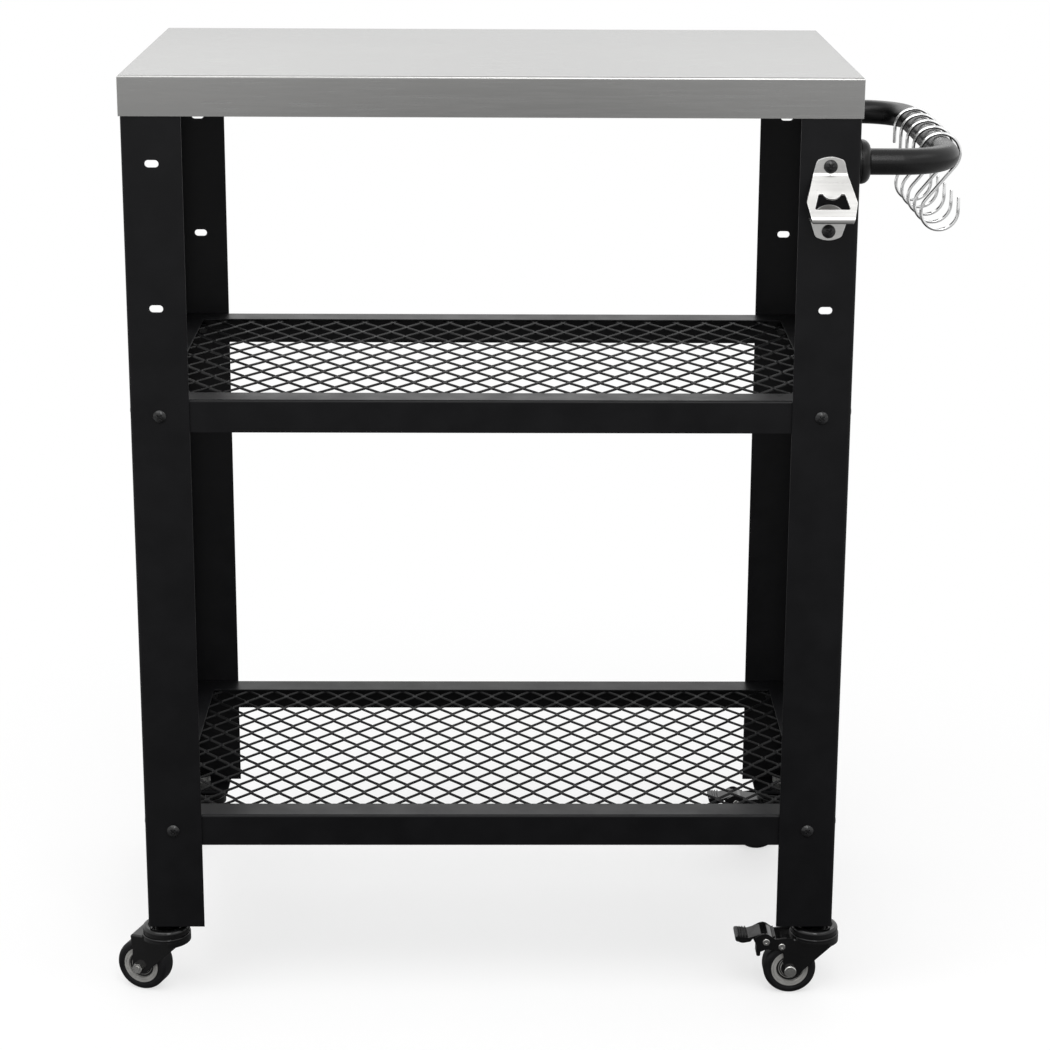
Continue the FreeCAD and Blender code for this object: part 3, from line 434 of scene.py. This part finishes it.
@dataclass(frozen=True)
class GlossEnamel:
    """Dipped gloss paint on pressed steel, with a clear skin and slow waves."""

    name: str
    tint: Colour
    roughness: float
    gloss: float = 0.2
    coat: float = 0.4
    coat_roughness: float = 0.05
    wave_scale: float = 160.0
    wave_height: float = 0.0003
    smear_scale: float = 45.0
    smear_share: tuple[float, float] = (-0.05, 0.15)
    worn: float = 3.0
    rub_width: float = 0.0008
    rub: float = 0.3
    edge_radius: float = 0.0006

    def build(self) -> bpy.types.Material:
        """Builds the material.

        Returns:
            The material.
        """
        shader = ShaderTree(self.name)
        shader.value("Specular IOR Level", self.gloss)
        shader.value("Coat Weight", self.coat)
        shader.value("Coat Roughness", self.coat_roughness)
        wave = shader.noise(self.wave_scale, 2.0)
        smear = shader.noise(self.smear_scale, 4.0)
        # Lighter edges from rubbing.
        lightened_edges = shader.edges(self.rub_width, self.rub)
        lightening = shader.math(Step.ADD, lightened_edges, shader.spread(smear, *self.smear_share))
        shader.tinted(shader.mixed(lightening, self.tint, shaded(self.tint, self.worn)), self.tint)
        rough = shader.spread(smear, self.roughness * 0.7, self.roughness * 1.5)
        shader.roughened(rough, self.roughness)
        shader.relief(wave, 0.1, self.wave_height, self.edge_radius)
        return shader.material


@dataclass(frozen=True)
class Plating:
    """Chrome, nickel or zinc on small steel pieces."""

    name: str
    tint: Colour
    roughness: float
    spangle: float
    blotch_scale: float = 260.0
    draw_scale: float = 1400.0
    draw_height: float = 0.00002
    edge_radius: float = 0.0003

    def build(self) -> bpy.types.Material:
        """Builds the material.

        Returns:
            The material.
        """
        shader = ShaderTree(self.name)
        shader.value("Metallic", 1.0)
        blotch = shader.noise(self.blotch_scale, 1.5)
        draw = shader.noise(self.draw_scale, 1.0)
        dark = shaded(self.tint, 1.0 - self.spangle)
        shader.tinted(shader.mixed(shader.spread(blotch, 0.0, 1.0), dark, self.tint), self.tint)
        rough = shader.spread(blotch, self.roughness * 0.7, self.roughness * 1.4)
        shader.roughened(rough, self.roughness)
        shader.relief(draw, 0.06, self.draw_height, self.edge_radius)
        return shader.material


@dataclass(frozen=True)
class MouldedPlastic:
    """Moulded nylon with a fine spark-eroded texture and scuffs."""

    name: str
    tint: Colour
    roughness: float
    texture_scale: float = 2600.0
    texture_height: float = 0.00008
    scuff_scale: float = 90.0
    scuff_tones: tuple[float, float] = (0.82, 1.12)
    scuff_rough: tuple[float, float] = (-0.06, 0.08)
    edge_radius: float = 0.0004

    def build(self) -> bpy.types.Material:
        """Builds the material.

        Returns:
            The material.
        """
        shader = ShaderTree(self.name)
        texture = shader.noise(self.texture_scale, 2.0)
        scuff = shader.noise(self.scuff_scale, 5.0)
        dark, pale = (shaded(self.tint, factor) for factor in self.scuff_tones)
        shader.tinted(shader.mixed(shader.spread(scuff, 0.0, 1.0), dark, pale), self.tint)
        smooth, dull = (self.roughness + change for change in self.scuff_rough)
        shader.roughened(shader.spread(scuff, smooth, dull), self.roughness)
        shader.relief(texture, 0.2, self.texture_height, self.edge_radius)
        return shader.material


@dataclass(frozen=True)
class TreadRubber:
    """Hard black tread with mould haze and a fine grain."""

    name: str
    tint: Colour
    roughness: float
    gloss: float = 0.2
    haze_scale: float = 60.0
    haze: float = 2.4
    haze_rough: float = 0.08
    grain_scale: float = 1900.0
    grain_height: float = 0.0001
    edge_radius: float = 0.0004

    def build(self) -> bpy.types.Material:
        """Builds the material.

        Returns:
            The material.
        """
        shader = ShaderTree(self.name)
        shader.value("Specular IOR Level", self.gloss)
        haze = shader.noise(self.haze_scale, 5.0)
        grain = shader.noise(self.grain_scale, 3.0)
        pale = shaded(self.tint, self.haze)
        shader.tinted(shader.mixed(shader.spread(haze, 0.0, 1.0), self.tint, pale), self.tint)
        rough = shader.spread(haze, self.roughness - self.haze_rough, self.roughness + self.haze_rough)
        shader.roughened(rough, self.roughness)
        shader.relief(grain, 0.25, self.grain_height, self.edge_radius)
        return shader.material


@dataclass(frozen=True)
class Finishes:
    """Every finish of the cart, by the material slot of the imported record."""

    brushed_stainless: BrushedSteel = BrushedSteel(
        "brushed_stainless", (0.340, 0.339, 0.333), 0.25, grain_depth=0.0000018, clouds=0.045
    )
    satin_stainless: BrushedSteel = BrushedSteel(
        "satin_stainless", (0.68, 0.675, 0.66), 0.30, grain_depth=0.000008, clouds=0.05
    )
    black_powder_coat: PowderCoat = PowderCoat("black_powder_coat", (0.0030, 0.0030, 0.0036), 0.38)
    black_tube: PowderCoat = PowderCoat(
        "black_tube", (0.0035, 0.0035, 0.0036), 0.28, peel=0.18, gloss=0.28
    )
    black_collar: PowderCoat = PowderCoat(
        "black_collar", (0.0035, 0.0035, 0.0035), 0.3, peel=0.15, gloss=0.28
    )
    black_mesh: PowderCoat = PowderCoat(
        "black_mesh", (0.0026, 0.0026, 0.0029), 0.44, peel=0.3, rub=0.1, gloss=0.1
    )
    # The strong edge lightening of the screw heads is a painted highlight on their rim and cross, on top of
    # rubbing.
    black_screw: PowderCoat = PowderCoat(
        "black_screw", (0.004, 0.004, 0.0045), 0.24, peel=0.1, rub=0.9, gloss=0.45
    )
    black_gloss_enamel: GlossEnamel = GlossEnamel("black_gloss_enamel", (0.0028, 0.0028, 0.003), 0.15)
    zinc_plated_steel: Plating = Plating("zinc_plated_steel", (0.62, 0.62, 0.60), 0.36, spangle=0.25)
    nickel_plate: Plating = Plating("nickel_plate", (0.58, 0.576, 0.558), 0.2, spangle=0.05)
    chrome_wire: Plating = Plating("chrome_wire", (0.8, 0.8, 0.8), 0.13, spangle=0.04)
    grey_hub: MouldedPlastic = MouldedPlastic("grey_hub", (0.36, 0.355, 0.34), 0.5)
    black_tread: TreadRubber = TreadRubber("black_tread", (0.0045, 0.0045, 0.005), 0.48)
    black_web: MouldedPlastic = MouldedPlastic("black_web", (0.006, 0.006, 0.006), 0.35)

    def build_all(self) -> dict[str, bpy.types.Material]:
        """Builds every material.

        Returns:
            The materials, by slot name.
        """
        return {name: getattr(self, name).build() for name in self.__dataclass_fields__}


@dataclass
class ExpandedMesh:
    """A sheet of expanded metal: staggered diamonds of narrow, tilted strands that meet in flat bonds.

    The factors say how the bonds follow from the strand's width and how far the strands reach into them.
    """

    node: str
    slot: str
    across: float
    along: float
    strand: float = 0.0027
    thickness: float = 0.0011
    corner: float = 0.72
    tilt: float = 24.0
    bond_length: float = 0.0075
    bond_width: float = 1.75
    reach: float = 0.75
    offset: float = 0.4
    largest_cut: int = 16

    def bar(self, mesh: bmesh.types.BMesh, start: Vector, end: Vector, width: float, roll: float) -> None:
        """Adds one strand or bond as a bar with bevelled long edges.

        Args:
            mesh: The mesh that it is added to.
            start: The middle of its first end.
            end: The middle of its last end.
            width: Its width.
            roll: How far it is tilted round its own length, in radians.
        """
        run = (end - start).normalized()
        side = run.cross(UP).normalized()
        turn = Matrix.Rotation(roll, 3, run)
        wide = turn @ side * (width / 2)
        thick = turn @ UP * (self.thickness / 2)
        soft = self.corner
        outline = [
            wide + thick * soft, wide * soft + thick, -wide * soft + thick, -wide + thick * soft,
            -wide - thick * soft, -wide * soft - thick, wide * soft - thick, wide - thick * soft,
        ]
        first, last = ([mesh.verts.new(middle + offset) for offset in outline] for middle in (start, end))
        count = len(outline)
        for index in range(count):
            following = (index + 1) % count
            mesh.faces.new((first[index], first[following], last[following], last[index]))
        mesh.faces.new(first[::-1])
        mesh.faces.new(last)

    def crossing(self, mesh: bmesh.types.BMesh, place: Vector, half_across: float, half_along: float) -> None:
        """Adds a bond and the two strands that leave it towards the back.

        Args:
            mesh: The mesh that they are added to.
            place: The bond's middle.
            half_across: Half a diamond's width.
            half_along: Half a diamond's length.
        """
        half_bond = Vector((0.0, self.bond_length / 2, 0.0))
        self.bar(mesh, place - half_bond, place + half_bond, self.strand * self.bond_width, 0.0)
        for side in (-1, 1):
            aside = Vector((side * self.strand * self.offset, 0.0, 0.0))
            start = place + half_bond * self.reach + aside
            far = place + Vector((side * half_across, half_along, 0.0))
            end = far - half_bond * self.reach - aside
            self.bar(mesh, start, end, self.strand, side * math.radians(self.tilt))

    def trim(self, mesh: bmesh.types.BMesh, low: Vector, high: Vector) -> None:
        """Shears the sheet off along the four edges of its outline.

        Args:
            mesh: The mesh.
            low: The outline's lowest corner.
            high: The outline's highest corner.
        """
        for axis in (0, 1):
            for corner, sense in ((low, -1.0), (high, 1.0)):
                normal = Vector((0.0, 0.0, 0.0))
                normal[axis] = sense
                geometry = mesh.verts[:] + mesh.edges[:] + mesh.faces[:]
                cut = bmesh.ops.bisect_plane(
                    mesh, geom=geometry, plane_co=corner, plane_no=normal, clear_outer=True
                )
                edges = [item for item in cut["geom_cut"] if isinstance(item, bmesh.types.BMEdge)]
                bmesh.ops.holes_fill(mesh, edges=edges, sides=self.largest_cut)

    def build(self, material: bpy.types.Material) -> bpy.types.Object:
        """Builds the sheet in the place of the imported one.

        Args:
            material: Its finish.

        Returns:
            The sheet's object.
        """
        low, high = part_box(self.node)
        middle = (low + high) / 2
        mesh = bmesh.new()
        half_across, half_along = self.across / 2, self.along / 2
        columns = int((high.x - low.x) / self.across) + 2
        rows = int((high.y - low.y) / self.along) + 2
        for i in range(-columns, columns + 1):
            for j in range(-rows, rows + 1):
                place = middle + Vector((i * half_across, j * half_along, 0.0))
                staggered = (i + j) % 2 == 0
                inside_x = low.x - half_across < place.x < high.x + half_across
                inside_y = low.y - half_along < place.y < high.y + half_along
                if staggered and inside_x and inside_y:
                    self.crossing(mesh, place, half_across, half_along)
        self.trim(mesh, low, high)
        bmesh.ops.recalc_face_normals(mesh, faces=mesh.faces[:])
        sheet = placed(self.node + "_strands", mesh, [material])
        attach(sheet, "cart")
        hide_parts(self.node)
        return sheet


@dataclass
class Shelves:
    """The two shelves' expanded metal, with slightly larger diamonds in the upper one."""

    upper: ExpandedMesh = field(
        default_factory=lambda: ExpandedMesh("upper_shelf_mesh", "black_mesh", across=0.0310, along=0.0455)
    )
    lower: ExpandedMesh = field(
        default_factory=lambda: ExpandedMesh("lower_shelf_mesh", "black_mesh", across=0.0291, along=0.0375)
    )

    def build(self, materials: dict[str, bpy.types.Material]) -> list[bpy.types.Object]:
        """Builds both sheets.

        Args:
            materials: The finishes, by slot name.

        Returns:
            The two sheets.
        """
        return [sheet.build(materials[sheet.slot]) for sheet in (self.upper, self.lower)]


def placed(name: str, mesh: bmesh.types.BMesh, materials: list[bpy.types.Material]) -> bpy.types.Object:
    """Turns a finished mesh into an object of the scene.

    Args:
        name: The object's name.
        mesh: The mesh, which is freed.
        materials: The finishes, by face index.

    Returns:
        The object.
    """
    data = bpy.data.meshes.new(name)
    mesh.to_mesh(data)
    mesh.free()
    for material in materials:
        data.materials.append(material)
    made = bpy.data.objects.new(name, data)
    bpy.context.scene.collection.objects.link(made)
    return made


def smooth_object(
    name: str, mesh: bmesh.types.BMesh, materials: list[bpy.types.Material], angle: float = SMOOTH_BELOW
) -> bpy.types.Object:
    """Turns a finished mesh into an object with smooth faces and sharp edges.

    Args:
        name: The object's name.
        mesh: The mesh, which is freed.
        materials: The finishes, by face index.
        angle: Edges that bend more than this many degrees stay sharp.

    Returns:
        The object.
    """
    bmesh.ops.recalc_face_normals(mesh, faces=mesh.faces[:])
    made = placed(name, mesh, materials)
    made.data.polygons.foreach_set("use_smooth", [True] * len(made.data.polygons))
    made.data.set_sharp_from_angle(angle=math.radians(angle))
    return made


@dataclass
class Wheel:
    """One caster wheel: a tyre with round shoulders and a two-coloured hub with two painted highlight rings
    on its web, turned about its axle.

    The hub's face is given as pairs of radius and depth from the bore outwards. The tyre's rim is given as
    pairs of how far a point lies outside the hub and how far it lies below the side wall.
    """

    label: str
    centre: Vector
    axle: Vector
    steps: int = 96
    half_width: float = 0.0115
    radius: float = 0.0270
    hub_radius: float = 0.0190
    shoulder: float = 0.0045
    shoulder_steps: int = 9
    seam: float = 0.0003
    ring_inner: float = 0.0134
    # Painted highlight: the radii of the web's step and ridge, which are coloured grey all round.
    beads: tuple[tuple[float, float], ...] = ((0.0087, 0.0095), (0.01065, 0.01145))
    hub_face: tuple[tuple[float, float], ...] = (
        (0.00310, 0.0124), (0.0058, 0.0124), (0.0060, 0.0122), (0.0060, 0.0093), (0.0088, 0.0093),
        (0.0094, 0.0088), (0.0094, 0.0080), (0.0107, 0.0080), (0.0108, 0.0085), (0.0113, 0.0085),
        (0.0114, 0.0080), (0.0130, 0.0080), (0.0134, 0.0084), (0.0138, 0.0105), (0.0141, 0.0108),
        (0.0163, 0.0108), (0.0164, 0.0105), (0.0167, 0.0105), (0.0168, 0.0108), (0.0187, 0.0108),
        (0.0190, 0.0106),
    )
    tyre_rim: tuple[tuple[float, float], ...] = (
        (0.00005, 0.0006), (0.0006, 0.0001), (0.0014, 0.0001), (0.0017, 0.0004), (0.0021, 0.0001),
    )

    def hub_profile(self) -> list[tuple[float, float]]:
        """The hub's section with both faces, as pairs of radius and depth."""
        return [*self.hub_face, *((radius, -depth) for radius, depth in reversed(self.hub_face))]

    def tyre_profile(self) -> list[tuple[float, float]]:
        """The tyre's section: side walls with a fine bead, round shoulders and a faint mould seam.

        Returns:
            Pairs of radius and depth.
        """
        wall = self.half_width
        side = [(self.hub_radius + outside, wall - below) for outside, below in self.tyre_rim]
        for step in range(self.shoulder_steps + 1):
            angle = math.pi / 2 * step / self.shoulder_steps
            radius = self.radius - self.shoulder + self.shoulder * math.sin(angle)
            side.append((radius, wall - self.shoulder + self.shoulder * math.cos(angle)))
        side.append((self.radius, self.seam))
        return side + [(radius, -depth) for radius, depth in reversed(side)]

    def in_web(self, first: float, second: float) -> bool:
        """Tells whether a face belongs to the black web.

        Args:
            first: Radius of one edge of the face.
            second: Radius of its other edge.

        Returns:
            False on the grey ring, and on the web's fine step and ridge, which are coloured grey all round as
            a painted highlight.
        """
        low, high = min(first, second), max(first, second)
        # Faces on the web's step and ridge get the grey of the painted highlight.
        bead = any(inside <= low and high <= outside for inside, outside in self.beads)
        return high <= self.ring_inner and not bead

    def turned(self, profile: list[tuple[float, float]]) -> bmesh.types.BMesh:
        """Turns a closed profile about the axle.

        Args:
            profile: Pairs of radius and depth, which is measured along the axle from the wheel's middle.

        Returns:
            The mesh, with the web's faces marked.
        """
        mesh = bmesh.new()
        across = self.axle.cross(UP).normalized()
        up = across.cross(self.axle).normalized()
        rings = []
        for step in range(self.steps):
            angle = 2 * math.pi * step / self.steps
            spoke = across * math.cos(angle) + up * math.sin(angle)
            places = [self.centre + spoke * radius + self.axle * depth for radius, depth in profile]
            rings.append([mesh.verts.new(place) for place in places])
        for step in range(self.steps):
            here, there = rings[step], rings[(step + 1) % self.steps]
            for index in range(len(profile)):
                following = (index + 1) % len(profile)
                face = mesh.faces.new((here[index], here[following], there[following], there[index]))
                face.material_index = 1 if self.in_web(profile[index][0], profile[following][0]) else 0
        return mesh

    def build(self, materials: dict[str, bpy.types.Material]) -> list[bpy.types.Object]:
        """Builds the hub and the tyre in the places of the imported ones.

        Args:
            materials: The finishes, by slot name.

        Returns:
            The hub and the tyre.
        """
        body = "wheel_" + self.label
        two_tone = [materials["grey_hub"], materials["black_web"]]
        hub = smooth_object("hub_" + self.label, self.turned(self.hub_profile()), two_tone)
        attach(hub, body)
        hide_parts("caster_hub_" + self.label)
        black = [materials["black_tread"]]
        tyre = smooth_object("tyre_" + self.label, self.turned(self.tyre_profile()), black)
        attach(tyre, body)
        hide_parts("caster_tyre_" + self.label)
        return [hub, tyre]


@dataclass
class SHook:
    """One chromed wire hook that hangs on the handle's bar.

    The rounded tip is given as pairs of the share of the wire's thickness and the distance from the end.
    """

    number: int
    pivot: Vector
    wire: float = 0.0017
    upper_radius: float = 0.0198
    lower_radius: float = 0.0184
    drop: float = 0.0576
    side_step: float = 0.0020
    upper_tail: float = 0.0160
    lower_tail: float = 0.0143
    bar_radius: float = 0.0127
    seat_gap: float = 0.0003
    sides: int = 20
    arc_steps: int = 40
    tip: tuple[tuple[float, float], ...] = ((0.55, 0.0), (0.85, 0.0004), (1.0, 0.0009))
    smooth_below: float = 50.0

    def arc(self, centre: Vector, radius: float, start: float, end: float) -> list[Vector]:
        """Points along an arc in the plane across the bar.

        Args:
            centre: The arc's centre.
            radius: Its radius.
            start: The first angle.
            end: The last angle.

        Returns:
            The points.
        """
        points = []
        for step in range(self.arc_steps + 1):
            angle = start + (end - start) * step / self.arc_steps
            points.append(centre + Vector((math.cos(angle), 0.0, math.sin(angle))) * radius)
        return points

    def route(self) -> list[Vector]:
        """The S that the wire follows.

        Returns:
            Points along the wire's middle.
        """
        rise = self.bar_radius + self.seat_gap + self.wire - self.upper_radius
        upper = self.pivot + Vector((0.0, 0.0, rise))
        lower = upper + Vector((self.side_step, 0.0, -self.drop))
        span = lower - upper
        lean = math.asin((self.upper_radius + self.lower_radius) / span.length)
        touch = math.atan2(span.z, span.x) + math.pi / 2 - lean
        top = self.arc(upper, self.upper_radius, math.pi, touch)
        bottom = self.arc(lower, self.lower_radius, touch + math.pi, 2 * math.pi)
        tail = top[0] - Vector((0.0, 0.0, self.upper_tail))
        tip = bottom[-1] + Vector((0.0, 0.0, self.lower_tail))
        return [tail] + top + bottom + [tip]

    def rings(self, mesh: bmesh.types.BMesh) -> list[list[bmesh.types.BMVert]]:
        """Adds the wire's outline at every point of its route, with rounded ends.

        Args:
            mesh: The mesh that they are added to.

        Returns:
            The rings of points, from end to end.
        """
        points = self.route()
        aside = Vector((0.0, 1.0, 0.0))
        last = len(points) - 1
        rings = []
        for index, point in enumerate(points):
            heading = (points[min(index + 1, last)] - points[max(index - 1, 0)]).normalized()
            outward = heading.cross(aside).normalized()
            sizes = [(1.0, 0.0)]
            if index == 0:
                sizes = list(self.tip)
            if index == last:
                sizes = [(factor, -along) for factor, along in reversed(self.tip)]
            for factor, along in sizes:
                ring = []
                for side in range(self.sides):
                    angle = 2 * math.pi * side / self.sides
                    spoke = aside * math.cos(angle) + outward * math.sin(angle)
                    ring.append(mesh.verts.new(point + heading * along + spoke * (self.wire * factor)))
                rings.append(ring)
        return rings

    def build(self, material: bpy.types.Material) -> bpy.types.Object:
        """Sweeps the wire along its route and closes its two ends.

        Args:
            material: Its finish.

        Returns:
            The hook.
        """
        mesh = bmesh.new()
        rings = self.rings(mesh)
        for first, second in zip(rings, rings[1:]):
            for side in range(self.sides):
                following = (side + 1) % self.sides
                mesh.faces.new((first[side], first[following], second[following], second[side]))
        mesh.faces.new(rings[0][::-1])
        mesh.faces.new(rings[-1])
        made = smooth_object("hook_%d_wire" % self.number, mesh, [material], self.smooth_below)
        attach(made, "hook_%d_swing" % self.number)
        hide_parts("hook_%d" % self.number)
        return made


@dataclass
class RollingGear:
    """The four wheels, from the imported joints."""

    joints: list[dict]
    prefix: str = "wheel_spin_"

    def build(self, materials: dict[str, bpy.types.Material]) -> list[bpy.types.Object]:
        """Builds every wheel.

        Args:
            materials: The finishes, by slot name.

        Returns:
            The hubs and tyres.
        """
        made = []
        for joint in self.joints:
            if joint["name"].startswith(self.prefix):
                wheel = Wheel(joint["name"][len(self.prefix):], Vector(joint["pos_m"]), Vector(joint["axis"]))
                made += wheel.build(materials)
        return made


@dataclass
class HookRow:
    """The hooks on the handle's bar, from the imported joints."""

    joints: list[dict]
    prefix: str = "hook_"

    def build(self, materials: dict[str, bpy.types.Material]) -> list[bpy.types.Object]:
        """Builds every hook.

        Args:
            materials: The finishes, by slot name.

        Returns:
            The hooks.
        """
        made = []
        for joint in self.joints:
            if joint["name"].startswith(self.prefix):
                hook = SHook(int(joint["name"].split("_")[1]), Vector(joint["pos_m"]))
                made.append(hook.build(materials["chrome_wire"]))
        return made


@dataclass
class PackedSolids:
    """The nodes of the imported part, of which most show their own shape."""

    nodes: dict[str, bpy.types.Object]
    slots: dict[str, str]

    def dress(self, materials: dict[str, bpy.types.Material]) -> None:
        """Gives every node the finish of its slot.

        Args:
            materials: The finishes, by slot name.
        """
        for name, node in self.nodes.items():
            finish = materials[self.slots[name]]
            node.data.materials.clear()
            node.data.materials.append(finish)
            LOG.info("%s wears %s", name, finish.name)


@dataclass(frozen=True)
class LampPlan:
    """Where one soft lamp hangs, its width and height, and its power in watts."""

    kind: Lamp
    place: Triple
    size: tuple[float, float]
    power: float


@dataclass
class Studio:
    """Floor, soft lamps, world and camera.

    The floor's dark and pale shades are what steel and paint reflect of it, at its middle and at its flanks.
    The camera sees the seen shade, which turns to white between the two fade distances.
    """

    floor_size: float = 14.0
    floor_parts: int = 8
    dark_shade: float = 0.12
    pale_shade: float = 0.58
    flanks: tuple[float, float] = (0.25, 1.2)
    seen_shade: float = 0.96
    fade: tuple[float, float] = (0.35, 1.1)
    nearest_white: float = 0.6
    floor_roughness: float = 0.9
    floor_gloss: float = 0.1
    world_level: float = 0.74
    aim: Triple = (0.0, 0.0, 0.5)
    plans: tuple[LampPlan, ...] = (
        LampPlan(Lamp.KEY, (-1.2, -1.3, 3.2), (2.6, 2.2), 32.0),
        LampPlan(Lamp.FRONT, (0.3, -1.9, 2.4), (0.7, 1.7), 19.0),
        LampPlan(Lamp.FILL, (2.2, -1.4, 3.1), (2.2, 1.2), 11.0),
        LampPlan(Lamp.REAR, (0.2, 2.6, 2.4), (3.0, 1.2), 16.0),
    )
    sensor: float = 36.0
    lens: float = 91.80
    nearest: float = 0.05
    farthest: float = 60.0
    eye: Triple = (-0.0319, -2.6932, 1.2636)
    turn: float = 0.78
    tilt: float = 15.48
    roll: float = 0.32
    shift_right: float = -0.009
    shift_up: float = -0.06

    def floor(self) -> None:
        """Lays a pale floor that fades into the white background away from the cart."""
        mesh = bmesh.new()
        parts = self.floor_parts
        bmesh.ops.create_grid(mesh, x_segments=parts, y_segments=parts, size=self.floor_size / 2)
        placed("studio_floor", mesh, [self.floor_material()])

    def floor_material(self) -> bpy.types.Material:
        """Matt pale floor that is reflected darker along the middle, as if it were lit from the sides.

        Returns:
            The material.
        """
        shader = ShaderTree("pale_floor")
        camera_ray = shader.add("LightPath").outputs["Is Camera Ray"]
        place = shader.add("SeparateXYZ")
        shader.link(shader.coordinates(), place.inputs["Vector"])
        aside = shader.math(Step.ABSOLUTE, place.outputs["X"])
        flank = shader.spread(aside, 0.0, 1.0, *self.flanks)
        shade = shader.mixed(flank, (self.dark_shade,) * 3, (self.pale_shade,) * 3)
        seen = (self.seen_shade,) * 3
        shader.tinted(shader.mixed(camera_ray, shade, seen), seen)
        grain = shader.noise(55.0, 4.0)
        rough = shader.spread(grain, self.floor_roughness - 0.05, self.floor_roughness + 0.05)
        shader.roughened(rough, self.floor_roughness)
        shader.value("Specular IOR Level", self.floor_gloss)
        length = shader.add("VectorMath")
        length.operation = "LENGTH"
        shader.link(shader.coordinates(), length.inputs[0])
        far = shader.spread(length.outputs["Value"], self.nearest_white, 1.0, *self.fade)
        amount = shader.math(Step.MULTIPLY, far, camera_ray)
        white = shader.white_light("Emission", 1.0)
        mix = shader.mixed_shader(amount, shader.surface.outputs["BSDF"], white)
        shader.link(mix, shader.output.inputs["Surface"])
        return shader.material

    def world(self) -> None:
        """Even light all round, with a white background for the camera and for reflections."""
        world = bpy.data.worlds.new("studio_world")
        world.use_nodes = True
        graph = NodeGraph(world.node_tree)
        path = graph.add("LightPath")
        light = graph.white_light("Background", self.world_level)
        white = graph.white_light("Background", 1.0)
        through = path.outputs["Is Transmission Ray"]
        seen = graph.math(Step.MAXIMUM, path.outputs["Is Camera Ray"], through)
        both = graph.math(Step.MAXIMUM, seen, path.outputs["Is Glossy Ray"])
        graph.link(graph.mixed_shader(both, light, white), graph.add("OutputWorld").inputs["Surface"])
        bpy.context.scene.world = world

    def lamp(self, plan: LampPlan) -> None:
        """Adds one rectangular soft lamp that faces the cart.

        Args:
            plan: Where it hangs, how large it is and how strong.
        """
        data = bpy.data.lights.new(plan.kind.value, "AREA")
        data.shape = "RECTANGLE"
        data.size, data.size_y = plan.size
        data.energy = plan.power
        lamp = bpy.data.objects.new(plan.kind.value, data)
        lamp.location = plan.place
        heading = Vector(self.aim) - Vector(plan.place)
        lamp.rotation_euler = heading.to_track_quat("-Z", "Y").to_euler()
        bpy.context.scene.collection.objects.link(lamp)

    def camera(self) -> None:
        """Puts up the camera at the photograph's angle."""
        data = bpy.data.cameras.new("photograph_view")
        data.sensor_width = self.sensor
        data.lens = self.lens
        data.shift_x = self.shift_right
        data.shift_y = self.shift_up
        data.clip_start, data.clip_end = self.nearest, self.farthest
        camera = bpy.data.objects.new("photograph_view", data)
        bpy.context.scene.collection.objects.link(camera)
        turn, tilt, roll = (math.radians(angle) for angle in (self.turn, self.tilt, self.roll))
        level = Vector((math.sin(turn), math.cos(turn), 0.0))
        right = Vector((math.cos(turn), -math.sin(turn), 0.0))
        forward = level * math.cos(tilt) - UP * math.sin(tilt)
        raised = UP * math.cos(tilt) + level * math.sin(tilt)
        across = right * math.cos(roll) + raised * math.sin(roll)
        raised = raised * math.cos(roll) - right * math.sin(roll)
        axes = Matrix((across, raised, -forward)).transposed().to_4x4()
        camera.matrix_world = Matrix.Translation(Vector(self.eye)) @ axes
        bpy.context.scene.camera = camera

    def build(self) -> None:
        """Builds the floor, the world, the lamps and the camera."""
        self.floor()
        self.world()
        for plan in self.plans:
            self.lamp(plan)
        self.camera()
        bpy.context.scene.view_settings.view_transform = "Standard"


def main() -> None:
    """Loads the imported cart, dresses it and builds the studio round it."""
    logging.basicConfig(level=logging.INFO, format="%(message)s")
    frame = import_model()
    materials = Finishes().build_all()
    slots = {part["node"]: part["material_slot"] for part in frame["record"]["subparts"]}
    PackedSolids(frame["nodes"], slots).dress(materials)
    pieces = Shelves().build(materials)
    pieces += RollingGear(frame["joints"]).build(materials)
    pieces += HookRow(frame["joints"]).build(materials)
    for piece in pieces:
        LOG.info("%s has %d faces", piece.name, len(piece.data.polygons))
    Studio().build()


if __name__ == "__main__":
    main()
